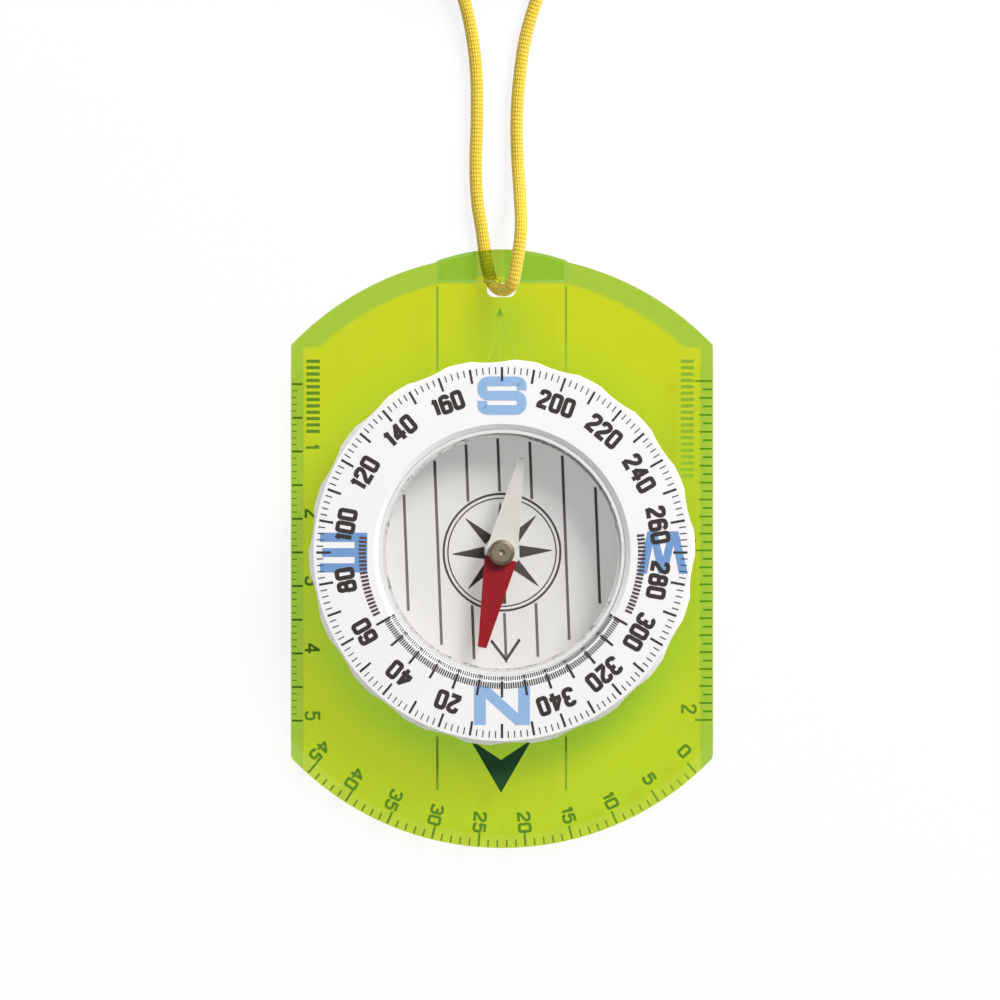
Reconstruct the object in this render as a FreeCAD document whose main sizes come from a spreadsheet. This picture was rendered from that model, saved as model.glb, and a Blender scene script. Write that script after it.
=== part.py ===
import FreeCAD, Part
import math
import os

import Sketcher

# Sighting compass: a transparent baseplate, a turning dial, a liquid capsule with its
# needle, and a neck lanyard. Millimetres, lying flat, +Z up, +Y towards the lanyard.
# The origin is under the middle of the baseplate, on the surface it lies on.

SIZES = [
    # baseplate
    ("plateLength", 89.4, "overall, along Y"),
    ("plateWidth", 63.0, "overall, along X"),
    ("plateThickness", 2.6, "flat part"),
    ("edgeThickness", 1.5, "left at the bevelled edges"),
    ("endRadius", 43.5, "both rounded ends"),
    ("sideBevel", 2.0, "width of the side bevels"),
    ("upperBevel", 3.3, "width of the bevel at the lanyard end"),
    ("lowerBevel", 2.0, "width of the bevel at the index end"),
    ("bevelHalfAngle", 50.0, "half of the angle that an end bevel covers"),
    ("lowerCorner", 1.2, "corner radius at the index end"),
    ("upperCorner", 0.4, "corner radius at the lanyard end"),
    ("tabRise", 0.75, "how far the tab stands out past the end arc"),
    ("tabWidth", 19.5, "raised tab"),
    ("tabDepth", 5.0, "raised tab, along Y"),
    ("tabThickness", 3.8, "raised tab"),
    ("tabRadius", 28.3, "outer arc of the tab"),
    ("tabEdge", 0.45, "chamfer on the tab's upper edges"),
    ("slotWidth", 4.3, "lanyard slot, along X"),
    ("slotDepth", 2.1, "lanyard slot, along Y"),
    ("slotCentreX", -0.1, "middle of the lanyard slot"),
    ("grooveWidth", 3.0, "groove for the lanyard under the tab"),
    ("grooveHeight", 2.5, "groove for the lanyard under the tab"),
    ("grooveInnerX", -1.3, "middle of the groove at the slot"),
    ("grooveOuterX", -2.85, "middle of the groove at the edge"),
    # where the dial sits
    ("dialCentreY", -0.5, "axis of the dial"),
    ("skirtRadius", 21.1, "bezel skirt that passes through the plate"),
    ("runningGap", 0.1, "radial clearance of the turning fits"),
    ("looseGap", 0.3, "clearance round parts that don't guide"),
    ("bondGap", 0.02, "room for cement or a press fit"),
    # friction washer and retaining ring
    ("washerThickness", 0.2, "under the bezel"),
    ("washerWidth", 1.0, "radial width"),
    ("retainerRadius", 23.1, "retaining ring, outside"),
    ("retainerThickness", 0.9, "retaining ring"),
    ("retainerBase", 0.2, "height of the retaining ring above the table"),
    ("retainerLap", 0.8, "how far the ring reaches under the capsule flange"),
    ("retainerPlay", 0.15, "axial play under the plate"),
    ("retainerEdge", 0.25, "chamfer"),
    # bezel
    ("bezelRadius", 28.7, "over the grip lobes"),
    ("bezelTop", 8.6, "height of the printed face above the table"),
    ("faceInnerRadius", 19.1, "printed face, inside"),
    ("faceOuterRadius", 28.0, "printed face, outside"),
    ("faceSlope", 1.3, "drop of the slope outside the face"),
    ("innerBevelDrop", 0.5, "drop of the bevel inside the face"),
    ("bezelFoot", 0.6, "chamfer at the bottom of the grip"),
    ("faceWall", 1.5, "thickness of the face"),
    ("gripWall", 1.7, "thickness of the grip"),
    ("hubWall", 4.1, "thickness of the wall round the capsule"),
    ("lobeCount", 18, "grip lobes"),
    ("lobeDepth", 0.45, "depth of the scallops"),
    ("scallopRadius", 18.0, "radius of the scallops"),
    ("scallopAngle", 3.0, "degrees from +Y to the first scallop, anticlockwise"),
    # capsule
    ("capsuleRadius", 18.25, "outside"),
    ("capsuleBase", 0.3, "height of the underside above the table"),
    ("capsuleFloor", 1.2, "thickness"),
    ("capsuleWall", 0.85, "thickness at the floor"),
    ("capsuleDraft", 0.1, "how much the wall thins towards the lid"),
    ("capsuleRim", 7.2, "height of the rim above the table"),
    ("flangeRadius", 19.5, "capsule flange"),
    ("flangeThickness", 0.8, "capsule flange"),
    ("frictionRingThickness", 0.5, "rubber ring above the flange"),
    ("lugHeight", 0.6, "stop lug on the flange, radial"),
    ("lugHalfAngle", 4.0, "half of the angle that the lug covers"),
    ("declinationAngleLimit", 60.0, "degrees each way from the dial's zero"),
    ("stopSlackAngle", 0.5, "degrees between the lug and its stop at the limit"),
    ("declinationAngle", 2.2, "degrees that the capsule is set to, anticlockwise"),
    ("lidThickness", 1.0, "capsule lid"),
    ("lidEdge", 0.2, "chamfer"),
    ("spigotDepth", 0.4, "lid spigot that centres it in the cup"),
    ("gasketWidth", 0.5, "lid gasket"),
    ("plugRadius", 0.8, "filler plug"),
    ("plugHeight", 4.5, "middle of the filler plug above the table"),
    ("plugInset", 0.05, "how far the plug stays behind each face of the wall"),
    # pivot
    ("bossRadius", 2.4, "boss on the capsule floor"),
    ("bossHeight", 0.7, "boss on the capsule floor"),
    ("postRadius", 1.3, "brass pivot post"),
    ("postDepth", 0.6, "how deep the post sits in the floor"),
    ("postTop", 3.1, "height above the table"),
    ("pinRadius", 0.3, "steel pivot pin"),
    ("pinDepth", 1.6, "how deep the pin sits in the post"),
    ("pinShoulder", 4.6, "height where the point begins"),
    ("pinTip", 5.4, "height of the point above the table"),
    # needle
    ("needleAngle", 11.8, "degrees clockwise that the needle points from the dial's axis"),
    ("needleReach", 14.5, "from the pivot to either tip"),
    ("needleThickness", 0.3, "blade"),
    ("needleHeight", 4.4, "underside of the blade above the table"),
    ("northHalfWidth", 2.45, "north half, at the hub"),
    ("northTipHalfWidth", 0.65, "north tip"),
    ("northShoulder", 0.9, "from the pivot to the widest place of the north half"),
    ("southHalfWidth", 2.3, "south half, at the hub"),
    ("southTipHalfWidth", 0.4, "south tip"),
    ("southShoulder", 0.7, "from the pivot to the widest place of the south half"),
    ("sleeveRadius", 1.05, "hub sleeve through the blade"),
    ("sleeveDrop", 0.4, "how far the sleeve reaches below the blade"),
    ("headRadius", 1.9, "hub head"),
    ("headHeight", 1.4, "hub head"),
    ("headEdge", 0.5, "chamfer of the hub head"),
    ("eyeRadius", 0.45, "hole in the head that shows the jewel"),
    ("jewelRadius", 0.75, "jewel cup"),
    ("jewelRoof", 0.25, "jewel above the point of its hollow"),
    ("jewelHeight", 1.2, "jewel cup"),
    ("hollowRadius", 0.6, "mouth of the jewel's hollow"),
    ("pointGap", 0.05, "between the pin's point and the jewel"),
    # lanyard
    ("cordDiameter", 1.9, "lanyard cord"),
    ("coilCentreY", 104.0, "put-away coil"),
    ("coilRadius", 10.5, "middle of the turns"),
    ("coilWidth", 5.8, "bundle of turns, across"),
    ("coilHeight", 7.8, "bundle of turns, high"),
    ("coilBase", 0.8, "height of the lowest turn above the table"),
    ("coilEdge", 0.9, "rounding of the bundle"),
    ("tieWidth", 3.2, "rubber tie round the coil"),
    ("tieThickness", 0.5, "rubber tie"),
    ("tieGap", 0.25, "between the tie and the coil"),
    ("tieOuterRound", 1.2, "corners of the tie, outside"),
    ("tieInnerRound", 0.7, "corners of the tie, inside"),
    ("knotRadius", 2.2, "knot that joins the ends of the cord"),
    ("knotLength", 6.0, "knot that joins the ends of the cord"),
]

# The cord's route, chosen by hand: from the left of the coil, through the knot, along
# the table, under the tab, up through the slot, over the tab and back to the coil.
CORD_ROUTE = [
    (-11.9, 98.6, 3.6),
    (-10.3, 92.9, 3.0),
    (-7.1, 86.5, 2.4),
    (-4.9, 79.6, 1.3),
    (-3.8, 72.2, 1.0),
    (-3.7, 64.5, 1.05),
    (-4.0, 57.4, 1.0),
    (-3.75, 51.6, 1.05),
    (-2.9, 47.2, 1.0),
    (-2.5, 43.0, 1.1),
    (-1.2, 38.65, 1.05),
    (1.5, 38.58, 5.25),
    (2.3, 43.1, 5.3),
    (2.9, 47.4, 4.9),
    (2.75, 51.8, 2.9),
    (2.4, 56.8, 1.1),
    (2.1, 63.0, 1.0),
    (2.5, 70.0, 1.05),
    (3.5, 77.0, 1.0),
    (5.8, 84.0, 1.05),
    (9.0, 90.9, 1.3),
    (11.8, 98.2, 1.75),
]
KNOT_RUN = 1
BEND_SHARE = 0.45

# Levels and radii that follow from the sizes above.
END_CENTRE_UP = "(sizes.plateLength / 2 - sizes.tabRise - sizes.endRadius)"
END_CENTRE_DOWN = "(sizes.endRadius - sizes.plateLength / 2)"
TAB_FOOT = "(sizes.plateLength / 2 - sizes.tabDepth)"
PLATE_HOLE = "(sizes.skirtRadius + sizes.runningGap)"
RETAINER_TOP = "(sizes.retainerBase + sizes.retainerThickness)"
RETAINER_INNER = "(sizes.flangeRadius - sizes.retainerLap)"
BEZEL_BASE = "(sizes.plateThickness + sizes.washerThickness)"
BEZEL_BORE = "(sizes.capsuleRadius + sizes.runningGap)"
FLANGE_TOP = "(" + RETAINER_TOP + " + sizes.flangeThickness)"
SHOULDER = "(" + FLANGE_TOP + " + sizes.frictionRingThickness)"
FLANGE_BORE = "(sizes.flangeRadius + sizes.runningGap)"
FLOOR_TOP = "(sizes.capsuleBase + sizes.capsuleFloor)"
CUP_INNER = "(sizes.capsuleRadius - sizes.capsuleWall)"
CUP_INNER_TOP = "(" + CUP_INNER + " + sizes.capsuleDraft)"
SPIGOT_RADIUS = "(" + CUP_INNER_TOP + " - sizes.gasketWidth / 2)"
GASKET_SEAT = "(sizes.capsuleRim - sizes.spigotDepth)"
GASKET_OUTER = "(" + SPIGOT_RADIUS + " + sizes.bondGap + sizes.gasketWidth)"
POST_BOTTOM = "(" + FLOOR_TOP + " - sizes.postDepth)"
PIN_BOTTOM = "(sizes.postTop - sizes.pinDepth)"
BLADE_TOP = "(sizes.needleHeight + sizes.needleThickness)"
SLEEVE_BOTTOM = "(sizes.needleHeight - sizes.sleeveDrop)"
HOLLOW_TOP = "(sizes.pinTip + sizes.pointGap)"
JEWEL_TOP = "(" + HOLLOW_TOP + " + sizes.jewelRoof)"
JEWEL_BOTTOM = "(" + JEWEL_TOP + " - sizes.jewelHeight)"
HEAD_TOP = "(" + BLADE_TOP + " + sizes.headHeight)"

doc = FreeCAD.newDocument("SightingCompass")
sheet = doc.addObject("Spreadsheet::Sheet", "sizes")
for row, (alias, number, note) in enumerate(SIZES, start=1):
    sheet.set(f"A{row}", alias)
    sheet.set(f"B{row}", str(number))
    sheet.setAlias(f"B{row}", alias)
    sheet.set(f"C{row}", note)
doc.recompute()


def value(expression):
    """The number that an expression on the sheet gives."""
    return float(sheet.evalExpression(expression))


def sheet_size(alias):
    """One size straight from the sheet."""
    return float(sheet.get(alias))


def new_body(label):
    body = doc.addObject("PartDesign::Body", label)
    body.Label = label
    return body


def put_on_dial_axis(part, turn=None, clockwise=False):
    """Places a part on the dial's axis, turned about it."""
    if turn:
        axis = FreeCAD.Vector(0, 0, -1 if clockwise else 1)
        part.Placement = FreeCAD.Placement(FreeCAD.Vector(), FreeCAD.Rotation(axis, value(turn)))
        part.setExpression("Placement.Rotation.Angle", turn)
    part.setExpression("Placement.Base.y", "sizes.dialCentreY")


def new_sketch(body, name, role, lift=None):
    """A sketch on one of the body's own origin planes."""
    sketch = body.newObject("Sketcher::SketchObject", name)
    planes = [item for item in body.Origin.OriginFeatures if item.Role == role]
    sketch.AttachmentSupport = [(planes[0], "")]
    sketch.MapMode = "FlatFace"
    if lift:
        sketch.setExpression("AttachmentOffset.Base.z", lift)
    return sketch


def tie_size(sketch, constraint, expression):
    """Adds a constraint whose number follows an expression."""
    index = sketch.addConstraint(constraint)
    sketch.setExpression(f"Constraints[{index}]", expression)


def tie_point(sketch, geometry, vertex, across, up):
    """Ties a point of a sketch to two expressions, measured from the sketch's origin."""
    for kind, axis, expression in (("DistanceX", -2, across), ("DistanceY", -1, up)):
        if expression == "0":
            sketch.addConstraint(Sketcher.Constraint("PointOnObject", geometry, vertex, axis))
        else:
            distance = Sketcher.Constraint(kind, -1, 1, geometry, vertex, value(expression))
            tie_size(sketch, distance, expression)


def draw_polygon(sketch, corners):
    """A closed outline of straight lines, each corner given by two expressions."""
    points = [FreeCAD.Vector(value(across), value(up), 0) for across, up in corners]
    count = len(points)
    for index in range(count):
        sketch.addGeometry(Part.LineSegment(points[index], points[(index + 1) % count]), False)
    for index in range(count):
        following = (index + 1) % count
        sketch.addConstraint(Sketcher.Constraint("Coincident", index, 2, following, 1))
        tie_point(sketch, index, 1, *corners[index])


def draw_circle(sketch, across, up, radius):
    centre = FreeCAD.Vector(value(across), value(up), 0)
    index = sketch.addGeometry(Part.Circle(centre, FreeCAD.Vector(0, 0, 1), value(radius)), False)
    tie_point(sketch, index, 3, across, up)
    tie_size(sketch, Sketcher.Constraint("Radius", index, value(radius)), radius)


def arc_between(centre_y, radius, half_width, upward):
    """An arc about a point of the Y axis, from +half_width to -half_width."""
    reach = math.sqrt(radius ** 2 - half_width ** 2)
    turn = math.atan2(reach, half_width)
    circle = Part.Circle(FreeCAD.Vector(0, centre_y, 0), FreeCAD.Vector(0, 0, 1), radius)
    if upward:
        return Part.ArcOfCircle(circle, turn, math.pi - turn)
    return Part.ArcOfCircle(circle, math.pi + turn, 2 * math.pi - turn)


def draw_capped(sketch, half_width, upper, lower):
    """Two upright sides closed by an arc above and, below, by an arc or a straight line.

    upper is (centre, radius); lower is the same, or a single level for a straight line.
    """
    half = value(half_width)
    up_centre, up_radius = value(upper[0]), value(upper[1])
    up_level = up_centre + math.sqrt(up_radius ** 2 - half ** 2)
    round_foot = isinstance(lower, tuple)
    if round_foot:
        down_centre, down_radius = value(lower[0]), value(lower[1])
        down_level = down_centre - math.sqrt(down_radius ** 2 - half ** 2)
    else:
        down_level = value(lower)
    corner = FreeCAD.Vector
    right = Part.LineSegment(corner(half, down_level, 0), corner(half, up_level, 0))
    top = arc_between(up_centre, up_radius, half, True)
    left = Part.LineSegment(corner(-half, up_level, 0), corner(-half, down_level, 0))
    if round_foot:
        foot = arc_between(down_centre, down_radius, half, False)
    else:
        foot = Part.LineSegment(corner(-half, down_level, 0), corner(half, down_level, 0))
    for curve in (right, top, left, foot):
        sketch.addGeometry(curve, False)
    for first, following in ((0, 1), (1, 2), (2, 3), (3, 0)):
        sketch.addConstraint(Sketcher.Constraint("Coincident", first, 2, following, 1))
    for side in (0, 2):
        sketch.addConstraint(Sketcher.Constraint("Vertical", side))
    tie_size(sketch, Sketcher.Constraint("DistanceX", -1, 1, 0, 1, half), half_width)
    tie_size(sketch, Sketcher.Constraint("DistanceX", -1, 1, 2, 1, -half), f"-({half_width})")
    arcs = [(1, upper)] + ([(3, lower)] if round_foot else [])
    for index, (centre, radius) in arcs:
        tie_point(sketch, index, 3, "0", centre)
        tie_size(sketch, Sketcher.Constraint("Radius", index, value(radius)), radius)
    if not round_foot:
        sketch.addConstraint(Sketcher.Constraint("Horizontal", 3))
        tie_size(sketch, Sketcher.Constraint("DistanceY", -1, 1, 3, 1, down_level), lower)


def draw_slot(sketch, across, up, length, width):
    """A slot with round ends, along the sketch's X axis."""
    middle_x, middle_y = value(across), value(up)
    half, radius = value(length) / 2, value(width) / 2
    shift = half - radius
    left = FreeCAD.Vector(middle_x - shift, middle_y, 0)
    right = FreeCAD.Vector(middle_x + shift, middle_y, 0)
    rise = FreeCAD.Vector(0, radius, 0)
    normal = FreeCAD.Vector(0, 0, 1)
    quarter = math.pi / 2
    sketch.addGeometry(Part.LineSegment(left - rise, right - rise), False)
    sketch.addGeometry(Part.ArcOfCircle(Part.Circle(right, normal, radius), -quarter, quarter), False)
    sketch.addGeometry(Part.LineSegment(right + rise, left + rise), False)
    sketch.addGeometry(Part.ArcOfCircle(Part.Circle(left, normal, radius), quarter, 3 * quarter), False)
    for first, following in ((0, 1), (1, 2), (2, 3), (3, 0)):
        sketch.addConstraint(Sketcher.Constraint("Tangent", first, 2, following, 1))
    sketch.addConstraint(Sketcher.Constraint("Horizontal", 0))
    radius_text = f"({width}) / 2"
    tie_size(sketch, Sketcher.Constraint("Radius", 1, radius), radius_text)
    tie_point(sketch, 1, 3, f"{across} + ({length} - {width}) / 2", up)
    shift_text = f"{across} - ({length} - {width}) / 2"
    tie_size(sketch, Sketcher.Constraint("DistanceX", -1, 1, 3, 3, left.x), shift_text)


def extrude(body, name, sketch, length, cut=False, backwards=False):
    """Pads a sketch along its normal, or pockets it with cut."""
    kind = "PartDesign::Pocket" if cut else "PartDesign::Pad"
    feature = body.newObject(kind, name)
    feature.Profile = sketch
    feature.Type = "Length"
    feature.Reversed = backwards
    feature.setExpression("Length", length)
    return feature


def turn_profile(body, name, corners, cut=False, half_angle=None, plane="XZ_Plane", axis_at=None):
    """Revolves a polygon of (radius, height) corners about Z, or cuts it with cut."""
    sketch = new_sketch(body, name + "Profile", plane)
    draw_polygon(sketch, corners)
    axis = "V_Axis"
    if axis_at:
        foot = FreeCAD.Vector(value(axis_at), 0, 0)
        head = FreeCAD.Vector(value(axis_at), sheet_size("plateThickness"), 0)
        line = sketch.addGeometry(Part.LineSegment(foot, head), True)
        tie_point(sketch, line, 1, axis_at, "0")
        tie_point(sketch, line, 2, axis_at, "sizes.plateThickness")
        axis = "Axis0"
    feature = body.newObject("PartDesign::Groove" if cut else "PartDesign::Revolution", name)
    feature.Profile = sketch
    feature.ReferenceAxis = (sketch, [axis])
    if half_angle:
        feature.Midplane = True
        feature.setExpression("Angle", f"2 * ({half_angle})")
    else:
        feature.Angle = 360
    return feature


def round_edges(body, name, kind, wanted, size):
    """Fillets or chamfers the edges of the body's tip that wanted accepts."""
    doc.recompute()
    base = body.Tip
    names = [f"Edge{number}" for number, edge in enumerate(base.Shape.Edges, start=1) if wanted(edge)]
    feature = body.newObject("PartDesign::" + kind, name)
    feature.Base = (base, names)
    feature.setExpression("Radius" if kind == "Fillet" else "Size", size)
    return feature


def is_upright(edge, x, y_positive):
    """True for a vertical edge at the given |x|, above or below the X axis."""
    box = edge.BoundBox
    return box.XLength + box.YLength < 1e-6 and abs(abs(box.Center.x) - x) < 1e-4 \
        and (box.Center.y > 0) == y_positive


def make_baseplate():
    body = new_body("baseplate")
    outline = new_sketch(body, "plateOutline", "XY_Plane")
    half_width = "sizes.plateWidth / 2"
    draw_capped(outline, half_width, (END_CENTRE_UP, "sizes.endRadius"),
                (END_CENTRE_DOWN, "sizes.endRadius"))
    extrude(body, "plateSlab", outline, "sizes.plateThickness")
    side = value(half_width)
    round_edges(body, "lowerCorners", "Fillet", lambda edge: is_upright(edge, side, False),
                "sizes.lowerCorner")
    round_edges(body, "upperCorners", "Fillet", lambda edge: is_upright(edge, side, True),
                "sizes.upperCorner")
    # the side bevels are a triangle on each side, cut along the whole plate
    drop = "(sizes.plateThickness - sizes.edgeThickness)"
    for name, sign in (("rightBevel", ""), ("leftBevel", "-")):
        bevel = new_sketch(body, name + "Profile", "XZ_Plane", "-sizes.plateLength")
        draw_polygon(bevel, [
            (f"{sign}({half_width} - sizes.sideBevel)", "sizes.plateThickness"),
            (f"{sign}({half_width})", "sizes.edgeThickness"),
            (f"{sign}({half_width} + sizes.sideBevel)", f"sizes.edgeThickness - {drop}"),
            (f"{sign}({half_width} + sizes.sideBevel)", "sizes.plateThickness"),
        ])
        extrude(body, name, bevel, "2 * sizes.plateLength", cut=True)
    # the end bevels are cones about the centres of the end arcs
    for name, sign, centre, width in (("upperBevel", "+", END_CENTRE_UP, "sizes.upperBevel"),
                                      ("lowerBevel", "-", END_CENTRE_DOWN, "sizes.lowerBevel")):
        turn_profile(body, name, [
            (f"{centre} {sign} (sizes.endRadius - {width})", "sizes.plateThickness"),
            (f"{centre} {sign} sizes.endRadius", "sizes.edgeThickness"),
            (f"{centre} {sign} (sizes.endRadius + {width})", f"sizes.edgeThickness - {drop}"),
            (f"{centre} {sign} (sizes.endRadius + {width})", "sizes.plateThickness"),
        ], cut=True, half_angle="sizes.bevelHalfAngle", plane="YZ_Plane", axis_at=centre)
    tab = new_sketch(body, "tabOutline", "XY_Plane")
    draw_capped(tab, "sizes.tabWidth / 2", ("(sizes.plateLength / 2 - sizes.tabRadius)",
                                            "sizes.tabRadius"), TAB_FOOT)
    extrude(body, "tab", tab, "sizes.tabThickness")
    top = sheet_size("tabThickness")
    round_edges(body, "tabEdges", "Chamfer",
                lambda edge: edge.BoundBox.ZMin > top - 1e-6, "sizes.tabEdge")
    slot = new_sketch(body, "slotOutline", "XY_Plane")
    draw_slot(slot, "sizes.slotCentreX", f"{TAB_FOOT} - sizes.slotDepth / 2", "sizes.slotWidth",
              "sizes.slotDepth")
    extrude(body, "slot", slot, "sizes.tabThickness", cut=True, backwards=True)
    groove = new_sketch(body, "cordGrooveOutline", "XY_Plane")
    inner_y = f"{TAB_FOOT} - sizes.slotDepth / 2"
    outer_y = "sizes.plateLength / 2 + sizes.tabRise"
    draw_polygon(groove, [
        ("sizes.grooveInnerX - sizes.grooveWidth / 2", inner_y),
        ("sizes.grooveInnerX + sizes.grooveWidth / 2", inner_y),
        ("sizes.grooveOuterX + sizes.grooveWidth / 2", outer_y),
        ("sizes.grooveOuterX - sizes.grooveWidth / 2", outer_y),
    ])
    extrude(body, "cordGroove", groove, "sizes.grooveHeight", cut=True, backwards=True)
    hole = new_sketch(body, "dialHoleOutline", "XY_Plane")
    draw_circle(hole, "0", "sizes.dialCentreY", PLATE_HOLE)
    extrude(body, "dialHole", hole, "sizes.plateThickness", cut=True, backwards=True)
    recess = new_sketch(body, "retainerRecessOutline", "XY_Plane")
    draw_circle(recess, "0", "sizes.dialCentreY", "sizes.retainerRadius + sizes.looseGap")
    extrude(body, "retainerRecess", recess, f"{RETAINER_TOP} + sizes.retainerPlay",
            cut=True, backwards=True)
    return body


def make_bezel_friction_washer():
    body = new_body("bezel_friction_washer")
    inner = "sizes.skirtRadius + sizes.looseGap"
    turn_profile(body, "washerRing", [
        (inner, "sizes.plateThickness"),
        (f"{inner} + sizes.washerWidth", "sizes.plateThickness"),
        (f"{inner} + sizes.washerWidth", BEZEL_BASE),
        (inner, BEZEL_BASE),
    ])
    put_on_dial_axis(body)
    return body


def make_bezel_ring():
    body = new_body("bezel_ring")
    hub_outer = f"({BEZEL_BORE} + sizes.hubWall)"
    roof = "(sizes.bezelTop - sizes.faceWall)"
    grip_inner = "(sizes.bezelRadius - sizes.lobeDepth - sizes.gripWall)"
    turn_profile(body, "ringBody", [
        (BEZEL_BORE, "sizes.bezelTop - sizes.innerBevelDrop"),
        ("sizes.faceInnerRadius", "sizes.bezelTop"),
        ("sizes.faceOuterRadius", "sizes.bezelTop"),
        ("sizes.bezelRadius", "sizes.bezelTop - sizes.faceSlope"),
        ("sizes.bezelRadius", f"{BEZEL_BASE} + sizes.bezelFoot"),
        ("sizes.bezelRadius - sizes.bezelFoot", BEZEL_BASE),
        (grip_inner, BEZEL_BASE),
        (grip_inner, roof),
        (hub_outer, roof),
        (hub_outer, BEZEL_BASE),
        ("sizes.skirtRadius", BEZEL_BASE),
        ("sizes.skirtRadius", RETAINER_TOP),
        (FLANGE_BORE, RETAINER_TOP),
        (FLANGE_BORE, SHOULDER),
        (BEZEL_BORE, SHOULDER),
    ])
    # one scallop in the grip, repeated round it
    scallop = new_sketch(body, "scallopOutline", "XY_Plane")
    reach = "(sizes.bezelRadius - sizes.lobeDepth + sizes.scallopRadius)"
    draw_circle(scallop, f"-{reach} * sin(sizes.scallopAngle)", f"{reach} * cos(sizes.scallopAngle)",
                "sizes.scallopRadius")
    cut = extrude(body, "scallop", scallop, "sizes.bezelTop", cut=True, backwards=True)
    doc.recompute()
    pattern = body.newObject("PartDesign::PolarPattern", "scallops")
    pattern.Originals = [cut]
    pattern.Axis = (scallop, ["N_Axis"])
    pattern.Angle = 360
    pattern.setExpression("Occurrences", "sizes.lobeCount")
    body.Tip = pattern
    # the stop recess opens the flange bore over the declination range, on the north side
    turn_profile(body, "stopRecess", [
        ("-sizes.flangeRadius", RETAINER_TOP),
        (f"-({FLANGE_BORE} + sizes.lugHeight)", RETAINER_TOP),
        (f"-({FLANGE_BORE} + sizes.lugHeight)", SHOULDER),
        ("-sizes.flangeRadius", SHOULDER),
    ], cut=True, plane="YZ_Plane",
        half_angle="sizes.declinationAngleLimit + sizes.lugHalfAngle + sizes.stopSlackAngle")
    put_on_dial_axis(body)
    return body


def make_retaining_ring():
    body = new_body("retaining_ring")
    turn_profile(body, "ring", [
        (RETAINER_INNER, "sizes.retainerBase + sizes.retainerEdge"),
        (f"{RETAINER_INNER} + sizes.retainerEdge", "sizes.retainerBase"),
        ("sizes.retainerRadius - sizes.retainerEdge", "sizes.retainerBase"),
        ("sizes.retainerRadius", "sizes.retainerBase + sizes.retainerEdge"),
        ("sizes.retainerRadius", RETAINER_TOP),
        (RETAINER_INNER, RETAINER_TOP),
    ])
    put_on_dial_axis(body)
    return body


def make_capsule_cup():
    body = new_body("capsule_cup")
    post_hole = "(sizes.postRadius + sizes.bondGap)"
    seat = f"({GASKET_OUTER} + sizes.bondGap)"
    turn_profile(body, "cupBody", [
        ("0", "sizes.capsuleBase"),
        ("sizes.capsuleRadius", "sizes.capsuleBase"),
        ("sizes.capsuleRadius", RETAINER_TOP),
        ("sizes.flangeRadius", RETAINER_TOP),
        ("sizes.flangeRadius", FLANGE_TOP),
        ("sizes.capsuleRadius", FLANGE_TOP),
        ("sizes.capsuleRadius", "sizes.capsuleRim"),
        (seat, "sizes.capsuleRim"),
        (seat, GASKET_SEAT),
        (CUP_INNER_TOP, GASKET_SEAT),
        (CUP_INNER, FLOOR_TOP),
        ("sizes.bossRadius", FLOOR_TOP),
        ("sizes.bossRadius", f"{FLOOR_TOP} + sizes.bossHeight"),
        (post_hole, f"{FLOOR_TOP} + sizes.bossHeight"),
        (post_hole, POST_BOTTOM),
        ("0", POST_BOTTOM),
    ])
    # the lug that meets the ends of the stop recess
    turn_profile(body, "stopLug", [
        ("-(sizes.flangeRadius - sizes.lugHeight)", RETAINER_TOP),
        ("-(sizes.flangeRadius + sizes.lugHeight)", RETAINER_TOP),
        ("-(sizes.flangeRadius + sizes.lugHeight)", FLANGE_TOP),
        ("-(sizes.flangeRadius - sizes.lugHeight)", FLANGE_TOP),
    ], plane="YZ_Plane", half_angle="sizes.lugHalfAngle")
    hole = new_sketch(body, "fillerHoleOutline", "YZ_Plane")
    draw_circle(hole, "0", "sizes.plugHeight", "sizes.plugRadius + sizes.bondGap")
    extrude(body, "fillerHole", hole, "sizes.capsuleRadius + sizes.capsuleWall",
            cut=True, backwards=True)
    put_on_dial_axis(body, "sizes.declinationAngle")
    return body


def make_capsule_friction_ring():
    body = new_body("capsule_friction_ring")
    inner = "sizes.capsuleRadius + sizes.looseGap"
    turn_profile(body, "rubberRing", [
        (inner, FLANGE_TOP),
        ("sizes.flangeRadius - sizes.bondGap", FLANGE_TOP),
        ("sizes.flangeRadius - sizes.bondGap", SHOULDER),
        (inner, SHOULDER),
    ])
    put_on_dial_axis(body)
    return body


def make_filler_plug():
    plug = doc.addObject("Part::Cylinder", "filler_plug")
    plug.Label = "filler_plug"
    plug.setExpression("Radius", "sizes.plugRadius")
    plug.setExpression("Height", "sizes.capsuleWall - sizes.capsuleDraft - 2 * sizes.plugInset")
    # lies along the radius that the filler hole follows, turned with the capsule
    reach = f"({CUP_INNER_TOP} + sizes.plugInset)"
    tilt = FreeCAD.Rotation(FreeCAD.Vector(0, 1, 0), 90)
    spin = FreeCAD.Rotation(FreeCAD.Vector(0, 0, 1), value("sizes.declinationAngle"))
    plug.Placement = FreeCAD.Placement(FreeCAD.Vector(), spin * tilt)
    plug.setExpression("Placement.Base.x", f"{reach} * cos(sizes.declinationAngle)")
    plug.setExpression("Placement.Base.y",
                       f"sizes.dialCentreY + {reach} * sin(sizes.declinationAngle)")
    plug.setExpression("Placement.Base.z", "sizes.plugHeight")
    return plug


def make_lid_gasket():
    body = new_body("lid_gasket")
    turn_profile(body, "gasketRing", [
        (f"{SPIGOT_RADIUS} + sizes.bondGap", GASKET_SEAT),
        (GASKET_OUTER, GASKET_SEAT),
        (GASKET_OUTER, "sizes.capsuleRim"),
        (f"{SPIGOT_RADIUS} + sizes.bondGap", "sizes.capsuleRim"),
    ])
    put_on_dial_axis(body)
    return body


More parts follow.
